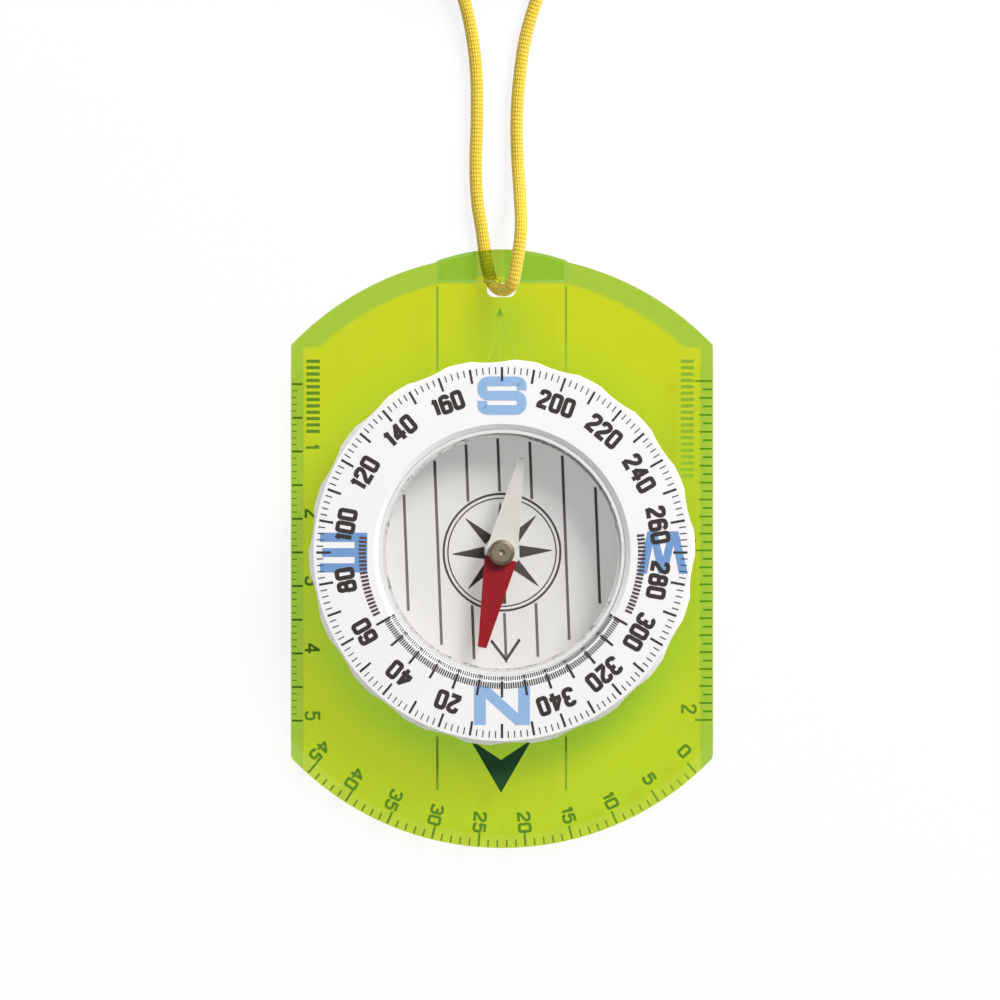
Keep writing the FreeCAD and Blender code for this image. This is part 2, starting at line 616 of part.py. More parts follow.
def make_capsule_lid():
    body = new_body("capsule_lid")
    lid_top = "(sizes.capsuleRim + sizes.lidThickness)"
    turn_profile(body, "lidDisc", [
        ("0", GASKET_SEAT),
        (SPIGOT_RADIUS, GASKET_SEAT),
        (SPIGOT_RADIUS, "sizes.capsuleRim"),
        ("sizes.capsuleRadius", "sizes.capsuleRim"),
        ("sizes.capsuleRadius", f"{lid_top} - sizes.lidEdge"),
        ("sizes.capsuleRadius - sizes.lidEdge", lid_top),
        ("0", lid_top),
    ])
    put_on_dial_axis(body)
    return body


def make_pivot_post():
    body = new_body("pivot_post")
    hole = "(sizes.pinRadius + sizes.bondGap)"
    turn_profile(body, "postBody", [
        ("0", POST_BOTTOM),
        ("sizes.postRadius", POST_BOTTOM),
        ("sizes.postRadius", "sizes.postTop"),
        (hole, "sizes.postTop"),
        (hole, PIN_BOTTOM),
        ("0", PIN_BOTTOM),
    ])
    put_on_dial_axis(body)
    return body


def make_pivot_pin():
    body = new_body("pivot_pin")
    turn_profile(body, "pinBody", [
        ("0", PIN_BOTTOM),
        ("sizes.pinRadius", PIN_BOTTOM),
        ("sizes.pinRadius", "sizes.pinShoulder"),
        ("0", "sizes.pinTip"),
    ])
    put_on_dial_axis(body)
    return body


def make_needle_blade():
    body = new_body("needle_blade")
    outline = new_sketch(body, "bladeOutline", "XY_Plane", "sizes.needleHeight")
    draw_polygon(outline, [
        ("sizes.southTipHalfWidth", "sizes.needleReach"),
        ("-sizes.southTipHalfWidth", "sizes.needleReach"),
        ("-sizes.southHalfWidth", "sizes.southShoulder"),
        ("-sizes.northHalfWidth", "-sizes.northShoulder"),
        ("-sizes.northTipHalfWidth", "-sizes.needleReach"),
        ("sizes.northTipHalfWidth", "-sizes.needleReach"),
        ("sizes.northHalfWidth", "-sizes.northShoulder"),
        ("sizes.southHalfWidth", "sizes.southShoulder"),
    ])
    extrude(body, "blade", outline, "sizes.needleThickness")
    hole = new_sketch(body, "hubHoleOutline", "XY_Plane", "sizes.needleHeight")
    draw_circle(hole, "0", "0", "sizes.sleeveRadius + sizes.bondGap")
    extrude(body, "hubHole", hole, "sizes.needleThickness", cut=True, backwards=True)
    put_on_dial_axis(body, "sizes.needleAngle", clockwise=True)
    return body


def make_needle_hub():
    body = new_body("needle_hub")
    bore = "(sizes.jewelRadius + sizes.bondGap)"
    turn_profile(body, "hubBody", [
        (bore, SLEEVE_BOTTOM),
        ("sizes.sleeveRadius", SLEEVE_BOTTOM),
        ("sizes.sleeveRadius", BLADE_TOP),
        ("sizes.headRadius", BLADE_TOP),
        ("sizes.headRadius", f"{HEAD_TOP} - sizes.headEdge"),
        ("sizes.headRadius - sizes.headEdge", HEAD_TOP),
        ("sizes.eyeRadius", HEAD_TOP),
        ("sizes.eyeRadius", JEWEL_TOP),
        (bore, JEWEL_TOP),
    ])
    put_on_dial_axis(body)
    return body


def make_jewel_cup():
    body = new_body("jewel_cup")
    turn_profile(body, "jewelBody", [
        ("0", HOLLOW_TOP),
        ("sizes.hollowRadius", JEWEL_BOTTOM),
        ("sizes.jewelRadius", JEWEL_BOTTOM),
        ("sizes.jewelRadius", JEWEL_TOP),
        ("0", JEWEL_TOP),
    ])
    put_on_dial_axis(body)
    return body


def rounded_path(points):
    """Straight runs joined by tangent arcs, and the radii of those arcs."""
    edges = []
    radii = []
    start = points[0]
    for before, corner, after in zip(points, points[1:], points[2:]):
        back = before - corner
        ahead = after - corner
        reach = BEND_SHARE * min(back.Length, ahead.Length)
        half_turn = (math.pi - back.getAngle(ahead)) / 2
        radius = reach / math.tan(half_turn)
        bisector = (back.normalize() + ahead.normalize()).normalize()
        enter = corner + back * reach
        leave = corner + ahead * reach
        middle = corner + bisector * (radius / math.cos(half_turn) - radius)
        edges.append(Part.LineSegment(start, enter).toShape())
        edges.append(Part.Arc(enter, middle, leave).toShape())
        radii.append(radius)
        start = leave
    edges.append(Part.LineSegment(start, points[-1]).toShape())
    return Part.Wire(edges), radii


def make_lanyard_cord():
    points = [FreeCAD.Vector(*place) for place in CORD_ROUTE]
    radius = sheet_size("cordDiameter") / 2
    path, radii = rounded_path(points)
    print("cord bend radii in diameters:", [round(bend / (2 * radius), 1) for bend in radii])
    ring = Part.makeCircle(radius, points[0], points[1] - points[0])
    tube = path.makePipeShell([Part.Wire([ring])], True, False)
    drawn = math.pi * radius ** 2 * path.Length
    print(f"cord tube {path.Length:.1f} mm long, volume over section x length", tube.Volume / drawn)
    cord = doc.addObject("Part::Feature", "lanyard_cord")
    cord.Label = "lanyard_cord"
    cord.Shape = tube
    cord.Placement = FreeCAD.Placement()
    return cord


def make_lanyard_coil():
    body = new_body("lanyard_coil")
    inner = "(sizes.coilRadius - sizes.coilWidth / 2)"
    outer = "(sizes.coilRadius + sizes.coilWidth / 2)"
    coil_top = "(sizes.coilBase + sizes.coilHeight)"
    turn_profile(body, "turns", [
        (f"{inner} + sizes.coilEdge", "sizes.coilBase"),
        (f"{outer} - sizes.coilEdge", "sizes.coilBase"),
        (outer, "sizes.coilBase + sizes.coilEdge"),
        (outer, f"{coil_top} - sizes.coilEdge"),
        (f"{outer} - sizes.coilEdge", coil_top),
        (f"{inner} + sizes.coilEdge", coil_top),
        (inner, f"{coil_top} - sizes.coilEdge"),
        (inner, "sizes.coilBase + sizes.coilEdge"),
    ])
    body.setExpression("Placement.Base.y", "sizes.coilCentreY")
    return body


def make_coil_tie():
    body = new_body("coil_tie")
    profile = new_sketch(body, "tieProfile", "YZ_Plane", "-sizes.tieWidth / 2")
    inner_half = "(sizes.coilWidth / 2 + sizes.tieGap)"
    inner_low = "(sizes.coilBase - sizes.tieGap)"
    inner_high = "(sizes.coilBase + sizes.coilHeight + sizes.tieGap)"
    middle = "sizes.coilRadius"
    wall = "sizes.tieThickness"
    draw_polygon(profile, [
        (f"{middle} - {inner_half} - {wall}", f"{inner_low} - {wall}"),
        (f"{middle} + {inner_half} + {wall}", f"{inner_low} - {wall}"),
        (f"{middle} + {inner_half} + {wall}", f"{inner_high} + {wall}"),
        (f"{middle} - {inner_half} - {wall}", f"{inner_high} + {wall}"),
    ])
    extrude(body, "tieBand", profile, "sizes.tieWidth")
    opening = new_sketch(body, "tieOpeningProfile", "YZ_Plane", "-sizes.tieWidth")
    draw_polygon(opening, [
        (f"{middle} - {inner_half}", inner_low),
        (f"{middle} + {inner_half}", inner_low),
        (f"{middle} + {inner_half}", inner_high),
        (f"{middle} - {inner_half}", inner_high),
    ])
    extrude(body, "tieOpening", opening, "2 * sizes.tieWidth", cut=True, backwards=True)
    bottom = value(f"{inner_low} - {wall}")
    top = value(f"{inner_high} + {wall}")

    def is_corner(edge, outside):
        box = edge.BoundBox
        at_level = min(abs(box.Center.z - bottom), abs(box.Center.z - top)) < 1e-4
        return box.YLength + box.ZLength < 1e-6 and at_level == outside

    round_edges(body, "outerCorners", "Fillet", lambda edge: is_corner(edge, True),
                "sizes.tieOuterRound")
    round_edges(body, "innerCorners", "Fillet", lambda edge: is_corner(edge, False),
                "sizes.tieInnerRound")
    body.setExpression("Placement.Base.y", "sizes.coilCentreY")
    return body


def make_lanyard_knot():
    start = FreeCAD.Vector(*CORD_ROUTE[KNOT_RUN])
    end = FreeCAD.Vector(*CORD_ROUTE[KNOT_RUN + 1])
    knot = doc.addObject("Part::Ellipsoid", "lanyard_knot")
    knot.Label = "lanyard_knot"
    knot.setExpression("Radius1", "sizes.knotLength / 2")
    knot.setExpression("Radius2", "sizes.knotRadius")
    knot.setExpression("Radius3", "sizes.knotRadius")
    along = FreeCAD.Rotation(FreeCAD.Vector(0, 0, 1), end - start)
    knot.Placement = FreeCAD.Placement((start + end) / 2, along)
    return knot


parts = [
    make_baseplate(),
    make_bezel_friction_washer(),
    make_bezel_ring(),
    make_retaining_ring(),
    make_capsule_cup(),
    make_capsule_friction_ring(),
    make_filler_plug(),
    make_lid_gasket(),
    make_capsule_lid(),
    make_pivot_post(),
    make_pivot_pin(),
    make_needle_blade(),
    make_needle_hub(),
    make_jewel_cup(),
    make_lanyard_cord(),
    make_lanyard_coil(),
    make_coil_tie(),
    make_lanyard_knot(),
]
doc.recompute()

for item in doc.Objects:
    if "Invalid" in item.State or "Error" in item.State:
        raise RuntimeError(f"{item.Label} did not build: {item.State}")
for part in parts:
    if part.Shape.isNull() or not part.Shape.isValid():
        raise RuntimeError(f"{part.Label} has no valid shape")

os.makedirs("parts", exist_ok=True)
for part in parts:
    part.Shape.exportStep(f"parts/{part.Label}.step")
    box = part.Shape.BoundBox
    print(f"{part.Label}: {len(part.Shape.Solids)} solid, {part.Shape.Volume:.2f} mm3,"
          f" z {box.ZMin:.2f} to {box.ZMax:.2f}")
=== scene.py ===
import math

import bpy
import numpy as np
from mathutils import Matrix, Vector


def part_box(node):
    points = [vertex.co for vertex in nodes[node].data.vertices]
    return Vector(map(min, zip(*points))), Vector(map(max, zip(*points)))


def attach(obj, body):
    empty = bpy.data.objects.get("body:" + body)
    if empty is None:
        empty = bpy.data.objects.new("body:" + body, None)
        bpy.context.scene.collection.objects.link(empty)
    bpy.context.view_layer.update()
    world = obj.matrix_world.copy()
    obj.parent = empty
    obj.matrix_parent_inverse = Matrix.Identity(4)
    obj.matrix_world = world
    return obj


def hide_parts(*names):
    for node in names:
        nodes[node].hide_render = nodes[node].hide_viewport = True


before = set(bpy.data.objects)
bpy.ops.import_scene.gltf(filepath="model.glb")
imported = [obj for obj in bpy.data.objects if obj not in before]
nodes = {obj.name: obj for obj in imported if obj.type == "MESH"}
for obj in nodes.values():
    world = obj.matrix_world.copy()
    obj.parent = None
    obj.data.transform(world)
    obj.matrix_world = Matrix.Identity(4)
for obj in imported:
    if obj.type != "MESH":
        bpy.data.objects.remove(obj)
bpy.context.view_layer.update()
mm = 0.001


# middle of a CAD node's box, and its lowest and highest corner, in millimetres
def boxOf(node):
    low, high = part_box(node)
    return (low + high) / 2 / mm, low / mm, high / mm


dialMiddle, dialLow, dialHigh = boxOf("bezel_ring")
dialCentre = np.array([dialMiddle.x, dialMiddle.y])
plateTop = boxOf("bezel_friction_washer")[1].z
plateHigh = boxOf("baseplate")[2]
dialTop = dialHigh.z


# sRGB hex to the linear colour that the shaders use
def hexColor(text):
    shares = [int(text[index:index + 2], 16) / 255 for index in (1, 3, 5)]
    linear = [share / 12.92 if share <= 0.04045 else ((share + 0.055) / 1.055) ** 2.4
              for share in shares]
    return (*linear, 1.0)


# one node with its settings; an input takes a number, a colour or another node's output
def addNode(tree, kind, settings=None, inputs=None):
    node = tree.nodes.new(kind)
    for key, setting in (settings or {}).items():
        setattr(node, key, setting)
    for key, entry in (inputs or {}).items():
        if isinstance(entry, bpy.types.NodeSocket):
            tree.links.new(entry, node.inputs[key])
        else:
            node.inputs[key].default_value = entry
    return node


def newMaterial(name):
    material = bpy.data.materials.new(name)
    material.use_nodes = True
    material.node_tree.nodes.clear()
    return material, material.node_tree


def setSurface(tree, surface, volume=None):
    inputs = {"Surface": surface}
    if volume:
        inputs["Volume"] = volume
    addNode(tree, "ShaderNodeOutputMaterial", inputs=inputs)


def objectPlace(tree):
    return addNode(tree, "ShaderNodeTexCoord").outputs["Object"]


# Object coordinates counted from the dial's axis
def dialPlace(tree):
    return addNode(tree, "ShaderNodeMapping", inputs={
        "Vector": objectPlace(tree), "Location": (-dialCentre[0] * mm, -dialCentre[1] * mm, 0)}).outputs[0]


# one sum on one to three values
def compute(tree, kind, *entries):
    return addNode(tree, "ShaderNodeMath", {"operation": kind}, dict(enumerate(entries))).outputs[0]


# from one span of values to another, held at both ends
def remap(tree, entry, low, high, first=0.0, last=1.0, kind="LINEAR"):
    return addNode(tree, "ShaderNodeMapRange", {"interpolation_type": kind}, {
        0: entry, 1: low, 2: high, 3: first, 4: last}).outputs[0]


# share 0 gives the first colour, share 1 the second
def blend(tree, share, first, second, kind="MIX"):
    return addNode(tree, "ShaderNodeMix", {"data_type": "RGBA", "blend_type": kind}, {
        0: share, 6: first, 7: second}).outputs[2]


def mixShaders(tree, share, first, second):
    return addNode(tree, "ShaderNodeMixShader", inputs={0: share, 1: first, 2: second}).outputs[0]


# noise whose grains are so many millimetres long
def grain(tree, size, detail=2.0, stretch=(1, 1, 1)):
    place = addNode(tree, "ShaderNodeMapping", inputs={"Vector": objectPlace(tree), "Scale": stretch})
    return addNode(tree, "ShaderNodeTexNoise", inputs={
        "Vector": place.outputs[0], "Scale": 1 / (size * mm), "Detail": detail}).outputs[0]


def bumpOf(tree, height, depth):
    return addNode(tree, "ShaderNodeBump", inputs={
        "Strength": 1.0, "Distance": depth * mm, "Height": height}).outputs[0]


# a colour that wanders a little between two tones
def mottled(tree, first, second, size):
    return blend(tree, grain(tree, size), hexColor(first), hexColor(second))


def dress(item, material):
    item.data.materials.clear()
    item.data.materials.append(material)


# a mesh piece from points in millimetres and faces given as rows of point numbers
def makePiece(name, points, faces, material, body, smooth=False):
    mesh = bpy.data.meshes.new(name)
    mesh.from_pydata(np.asarray(points) * mm, [], faces)
    mesh.update()
    mesh.polygons.foreach_set("use_smooth", np.full(len(mesh.polygons), smooth))
    piece = bpy.data.objects.new(name, mesh)
    bpy.context.scene.collection.objects.link(piece)
    dress(piece, material)
    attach(piece, body)
    return piece


# several (points, faces) sets as one set
def joined(parts):
    points = []
    faces = []
    count = 0
    for partPoints, partFaces in parts:
        points.append(partPoints)
        faces += [tuple(number + count for number in face) for face in partFaces]
        count += len(partPoints)
    return np.concatenate(points), faces


# quads of a grid of rows by columns, closed across the columns, and across the rows if asked
def gridFaces(rows, columns, closeRows=False):
    row = np.arange(rows if closeRows else rows - 1)[:, None]
    column = np.arange(columns)[None, :]
    following = (row + 1) % rows
    nextColumn = (column + 1) % columns
    quads = np.stack(np.broadcast_arrays(
        row * columns + column, following * columns + column,
        following * columns + nextColumn, row * columns + nextColumn), axis=-1)
    return [tuple(quad) for quad in quads.reshape(-1, 4).tolist()]


view = {"centre": (-0.3, 7.3), "height": 1200.0, "width": 149.25, "sensor": 36.0, "clip": 20}
cameraData = bpy.data.cameras.new("camera")
cameraData.sensor_width = view["sensor"]
cameraData.lens = view["sensor"] * view["height"] / view["width"]
cameraData.clip_end = view["clip"]
camera = bpy.data.objects.new("camera", cameraData)
camera.location = (view["centre"][0] * mm, view["centre"][1] * mm,
                   (view["height"] + plateTop) * mm)
bpy.context.scene.collection.objects.link(camera)
bpy.context.scene.camera = camera
bpy.context.scene.view_settings.view_transform = "Standard"

stage = {"floorDrop": 0.1, "floorSize": 6.0, "openShare": 0.86, "coveredShare": 0.7,
         "floorTone": "#fbfbfb", "glow": 1.0,
         "horizon": 0.6, "zenith": 0.12, "horizonUp": 0.45, "zenithUp": 0.92, "keyPower": 16.6, "keySize": 0.55,
         "keyPlace": (0.632, 0.753, 0.688), "fillPower": 0.8, "fillPlace": (-0.8, -0.5, 0.9)}


def makeStage():
    material, tree = newMaterial("studio_floor")
    path = addNode(tree, "ShaderNodeLightPath")
    diffuse = addNode(tree, "ShaderNodeBsdfDiffuse", inputs={"Color": hexColor(stage["floorTone"])})
    glow = addNode(tree, "ShaderNodeEmission", inputs={"Color": (1, 1, 1, 1), "Strength": stage["glow"]})
    # seen directly the floor is nearly even, seen through the acrylic it keeps more shade
    seen = compute(tree, "MULTIPLY", path.outputs["Is Camera Ray"], stage["openShare"])
    through = compute(tree, "MULTIPLY", path.outputs["Is Transmission Ray"], stage["coveredShare"])
    share = compute(tree, "MAXIMUM", seen, through)
    setSurface(tree, mixShaders(tree, share, diffuse.outputs[0], glow.outputs[0]))
    half = stage["floorSize"] / 2
    low = -stage["floorDrop"] * mm
    mesh = bpy.data.meshes.new("studio_floor")
    mesh.from_pydata([(-half, -half, low), (half, -half, low), (half, half, low), (-half, half, low)],
                     [], [(0, 1, 2, 3)])
    floor = bpy.data.objects.new("studio_floor", mesh)
    bpy.context.scene.collection.objects.link(floor)
    floor.data.materials.append(material)

    world = bpy.data.worlds.new("studio")
    bpy.context.scene.world = world
    world.use_nodes = True
    tree = world.node_tree
    tree.nodes.clear()
    path = addNode(tree, "ShaderNodeLightPath")
    direction = addNode(tree, "ShaderNodeTexCoord").outputs["Generated"]
    up = addNode(tree, "ShaderNodeSeparateXYZ", inputs={0: direction}).outputs[2]
    level = remap(tree, up, stage["horizonUp"], stage["zenithUp"], stage["horizon"], stage["zenith"],
                  "SMOOTHSTEP")
    room = addNode(tree, "ShaderNodeBackground", inputs={0: (1, 1, 1, 1), 1: level})
    white = addNode(tree, "ShaderNodeBackground", inputs={0: (1, 1, 1, 1), 1: 1.0})
    plain = compute(tree, "MAXIMUM", path.outputs["Is Camera Ray"], path.outputs["Is Transmission Ray"])
    surface = mixShaders(tree, plain, room.outputs[0], white.outputs[0])
    addNode(tree, "ShaderNodeOutputWorld", inputs={"Surface": surface})

    for name, power, place, size in (
            ("key", stage["keyPower"], stage["keyPlace"], stage["keySize"]),
            ("fill", stage["fillPower"], stage["fillPlace"], 2 * stage["keySize"])):
        lampData = bpy.data.lights.new(name, "AREA")
        lampData.shape = "DISK"
        lampData.size = size
        lampData.energy = power
        lamp = bpy.data.objects.new(name, lampData)
        lamp.location = place
        lamp.rotation_euler = Vector(place).to_track_quat("Z", "Y").to_euler()
        lamp.visible_camera = False
        bpy.context.scene.collection.objects.link(lamp)


makeStage()
print("stage ready")

cordSize = {"diameter": 1.9, "sides": 20, "samples": 12}
# control points in millimetres: up from the slot over the tab and along the table to the coil
frontRun = [(0.15, 38.615, 3.15), (1.5, 38.58, 5.25), (2.3, 43.1, 5.3), (2.9, 47.4, 4.9),
            (2.75, 51.8, 2.9), (2.4, 56.8, 1.1), (2.1, 63.0, 1.0), (2.5, 70.0, 1.05),
            (3.5, 77.0, 1.0), (5.8, 84.0, 1.05), (9.0, 90.9, 1.3), (11.8, 98.2, 1.75)]
# and from the coil through the knot, along the table and under the tab back to the slot
backRun = [(-11.9, 98.6, 3.6), (-10.3, 92.9, 3.0), (-7.1, 86.5, 2.4), (-4.9, 79.6, 1.3),
           (-3.8, 72.2, 1.0), (-3.7, 64.5, 1.05), (-4.0, 57.4, 1.0), (-3.75, 51.6, 1.05),
           (-2.9, 47.2, 1.0), (-2.5, 43.0, 1.1), (-1.2, 38.65, 1.05), (0.15, 38.615, 3.15)]
# (column, level) of each lap in the bundle; a lap's move to the next takes some degrees
coil = {"radius": 10.5, "pitch": 1.96, "turns": 10.5, "pointsPerTurn": 16, "moveAngle": 30.0,
        "cells": [(2, 0), (1, 0), (0, 0), (0, 1), (0, 2), (0, 3), (1, 3), (2, 3), (2, 2), (1, 2),
                  (1, 1), (2, 1)]}


def coilPoints():
    middle, low, _ = boxOf("lanyard_coil")
    count = int(coil["turns"] * coil["pointsPerTurn"]) + 1
    angle = np.linspace(0, coil["turns"] * 360, count)
    cells = np.array(coil["cells"], float)
    # a lap leaves its cell one move before the place where the lap before it left
    lap = 360 - coil["moveAngle"]
    starts = lap * np.arange(1, len(cells)) - coil["moveAngle"]
    reached = np.clip((angle[:, None] - starts) / coil["moveAngle"], 0, 1).sum(axis=1)
    column = np.interp(reached, np.arange(len(cells)), cells[:, 0])
    level = np.interp(reached, np.arange(len(cells)), cells[:, 1])
    # the spline cuts inside its points by the cosine of half a step
    outward = 1 / math.cos(math.pi / coil["pointsPerTurn"])
    radius = (coil["radius"] + (column - 1) * coil["pitch"]) * outward
    height = low.z + cordSize["diameter"] / 2 + level * coil["pitch"]
    turn = np.radians(angle)
    return np.stack([middle.x + radius * np.cos(turn), middle.y + radius * np.sin(turn), height], axis=1)


# points along an open NURBS spline of third order, in millimetres
def splineLine(points, samples):
    curve = bpy.data.curves.new("line", "CURVE")
    curve.dimensions = "3D"
    curve.resolution_u = samples
    spline = curve.splines.new("NURBS")
    spline.points.add(len(points) - 1)
    flat = np.concatenate([np.asarray(points) * mm, np.ones((len(points), 1))], axis=1)
    spline.points.foreach_set("co", flat.ravel())
    spline.order_u = 3
    spline.use_endpoint_u = True
    holder = bpy.data.objects.new("line", curve)
    mesh = bpy.data.meshes.new_from_object(holder)
    line = np.zeros(len(mesh.vertices) * 3)
    mesh.vertices.foreach_get("co", line)
    bpy.data.objects.remove(holder)
    bpy.data.meshes.remove(mesh)
    bpy.data.curves.remove(curve)
    return line.reshape(-1, 3) / mm


# A tube along a line that never follows the fixed direction. Point = line + radius * (cos b *
# side + sin b * over), where side is square to the line and to the fixed direction and over is
# square to both. One UV unit is a millimetre along the cord and, across, one turn round it.
def tubePiece(name, line, radius, sides, material, body, fixed=(0, 0, 1.0)):
    ahead = np.gradient(line, axis=0)
    ahead /= np.linalg.norm(ahead, axis=1, keepdims=True)
    side = np.cross(ahead, fixed)
    side /= np.linalg.norm(side, axis=1, keepdims=True)
    over = np.cross(side, ahead)
    turn = np.linspace(0, 2 * np.pi, sides, endpoint=False)
    thick = np.broadcast_to(radius, len(line))[:, None, None]
    ring = np.cos(turn)[None, :, None] * side[:, None, :] + np.sin(turn)[None, :, None] * over[:, None, :]
    points = (line[:, None, :] + thick * ring).reshape(-1, 3)
    rows = len(line)
    faces = gridFaces(rows, sides)
    ends = [tuple(range(sides)), tuple(range(rows * sides - 1, (rows - 1) * sides - 1, -1))]
    piece = makePiece(name, points, faces + ends, material, body, smooth=True)
    along = np.concatenate([[0], np.cumsum(np.linalg.norm(np.diff(line, axis=0), axis=1))])
    # corners of each quad in the order of its points, so that the seam doesn't stretch
    row = np.repeat(np.arange(rows - 1), sides)
    column = np.tile(np.arange(sides), rows - 1)
    u = np.stack([along[row], along[row + 1], along[row + 1], along[row]], axis=1)
    v = np.stack([column, column, column + 1, column + 1], axis=1) / sides
    corners = np.concatenate([np.stack([u, v], axis=2).reshape(-1, 2), np.zeros((2 * sides, 2))])
    layer = piece.data.uv_layers.new(name="weave")
    layer.uv.foreach_set("vector", corners.ravel())
    return piece


# Braided polyester cord: crossing yarns with a dull sheen, and painted shade of deeper yellow in the gaps
# between them.
def makeCordMaterial():
    braid = {"yarns": 8, "climb": 9.6, "low": "#dcb31a", "high": "#fbe147", "fibre": 14.0, "fibreRelief": 0.25,
             "streakShare": 0.25, "fibreFrom": 0.3, "fibreTo": 0.7, "dark": 0.75, "light": 1.1, "roughness": 0.7, "sheen": 0.35,
             "sheenRoughness": 0.5, "depth": 0.12}
    material, tree = newMaterial("braided_polyester")
    place = addNode(tree, "ShaderNodeUVMap", {"uv_map": "weave"}).outputs[0]
    split = addNode(tree, "ShaderNodeSeparateXYZ", inputs={0: place})
    waves = []
    waveTurn = 2 * math.pi * braid["yarns"]
    # two families of yarns, one climbing to the right and one to the left; climb is a yarn's
    # length along the cord in one turn round it
    for lean in (1, -1):
        climb = compute(tree, "MULTIPLY", split.outputs[0], lean * waveTurn / braid["climb"])
        phase = compute(tree, "MULTIPLY_ADD", split.outputs[1], waveTurn, climb)
        waves.append(compute(tree, "SINE", phase))
    relief = remap(tree, compute(tree, "MULTIPLY", *waves), -1.0, 1.0)
    fibre = addNode(tree, "ShaderNodeTexNoise", inputs={
        "Vector": place, "Scale": braid["fibre"], "Detail": 3.0}).outputs[0]
    # painted shade: the low parts of the weave, between the yarns, take the deeper yellow
    body = blend(tree, relief, hexColor(braid["low"]), hexColor(braid["high"]))
    streak = remap(tree, fibre, braid["fibreFrom"], braid["fibreTo"], braid["dark"], braid["light"])
    mixed = compute(tree, "MULTIPLY_ADD", fibre, braid["fibreRelief"], relief)
    shader = addNode(tree, "ShaderNodeBsdfPrincipled", inputs={
        "Base Color": blend(tree, braid["streakShare"], body, streak, "MULTIPLY"),
        "Roughness": braid["roughness"], "Sheen Weight": braid["sheen"],
        "Sheen Roughness": braid["sheenRoughness"], "IOR": 1.5, "Normal": bumpOf(tree, mixed, braid["depth"])})
    setSurface(tree, shader.outputs[0])
    return material


# Moulded rubber or silicone: matt, with a faint dusty mottle.
def makeRubber(name, first, second, roughness):
    skin = {"mottle": 0.9, "grain": 0.25, "depth": 0.02}
    material, tree = newMaterial(name)
    shader = addNode(tree, "ShaderNodeBsdfPrincipled", inputs={
        "Base Color": mottled(tree, first, second, skin["mottle"]), "Roughness": roughness, "IOR": 1.52,
        "Normal": bumpOf(tree, grain(tree, skin["grain"]), skin["depth"])})
    setSurface(tree, shader.outputs[0])
    return material


def makeLanyard():
    material = makeCordMaterial()
    control = np.concatenate([frontRun, coilPoints(), backRun])
    line = splineLine(control, cordSize["samples"])
    cord = tubePiece("neck_lanyard", line, cordSize["diameter"] / 2, cordSize["sides"], material,
                     "baseplate_body")
    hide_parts("lanyard_cord", "lanyard_coil")

    # the knot is a barrel of wraps: Point = middle + axis * u + helix radius * (cos, sin)
    start, end = np.array(backRun[1]), np.array(backRun[2])
    middle = (start + end) / 2
    axis = (end - start) / np.linalg.norm(end - start)
    across = np.cross(axis, [0, 0, 1.0])
    across /= np.linalg.norm(across)
    over = np.cross(across, axis)
    knot = {"turns": 2.75, "half": 2.0, "helix": 1.42, "tube": 0.82, "steps": 96, "tuck": 0.5,
            "sides": 14, "tuckShare": 0.12, "endPower": 24, "endShare": 0.06}
    share = np.linspace(0, 1, knot["steps"])
    spin = 2 * np.pi * knot["turns"] * share
    toEnd = np.minimum(share, 1 - share)
    reach = knot["helix"] - knot["tuck"] * np.clip(1 - toEnd / knot["tuckShare"], 0, 1)
    place = knot["half"] * (2 * share - 1)
    knotLine = middle + place[:, None] * axis + reach[:, None] * (
        np.cos(spin)[:, None] * across + np.sin(spin)[:, None] * over)
    thick = knot["tube"] * np.sqrt(np.clip(1 - np.abs(2 * share - 1) ** knot["endPower"], knot["endShare"], 1))
    wraps = tubePiece("lanyard_wraps", knotLine, thick, knot["sides"], material, "baseplate_body", axis)
    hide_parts("lanyard_knot")

    tie = makeTie()


# The tie is a band round the bundle. Point = loop(a) + wall * t(b) outward + X * w(b), where
# the loop is a superellipse and (t, w) a flat rounded strip.
def makeTie():
    tie = {"wall": 0.5, "loopPower": 0.5, "bandPower": 0.35, "loopSteps": 64, "bandSteps": 20}
    middle, low, high = boxOf("coil_tie")
    wall, width = tie["wall"], high.x - low.x
    halfY, halfZ = (high.y - low.y - wall) / 2, (high.z - low.z - wall) / 2
    a = np.linspace(0, 2 * np.pi, tie["loopSteps"], endpoint=False)[:, None]
    b = np.linspace(0, 2 * np.pi, tie["bandSteps"], endpoint=False)[None, :]
    signed = lambda wave, power: np.sign(wave) * np.abs(wave) ** power
    loopY = halfY * signed(np.cos(a), tie["loopPower"])
    loopZ = halfZ * signed(np.sin(a), tie["loopPower"])
    outY = signed(np.cos(a), 2 - tie["loopPower"]) / halfY
    outZ = signed(np.sin(a), 2 - tie["loopPower"]) / halfZ
    size = np.hypot(outY, outZ)
    lift = wall / 2 * signed(np.cos(b), tie["bandPower"])
    spread = width / 2 * signed(np.sin(b), tie["bandPower"])
    points = np.stack(np.broadcast_arrays(
        middle.x + spread + 0 * a, middle.y + loopY + lift * outY / size,
        middle.z + loopZ + lift * outZ / size), axis=-1)
    band = makePiece("rubber_tie", points.reshape(-1, 3), gridFaces(tie["loopSteps"], tie["bandSteps"], True),
                     makeRubber("tie_rubber", "#2b2a2c", "#363437", 0.75), "baseplate_body", smooth=True)
    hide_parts("coil_tie")
    return band


makeLanyard()
print("lanyard ready")


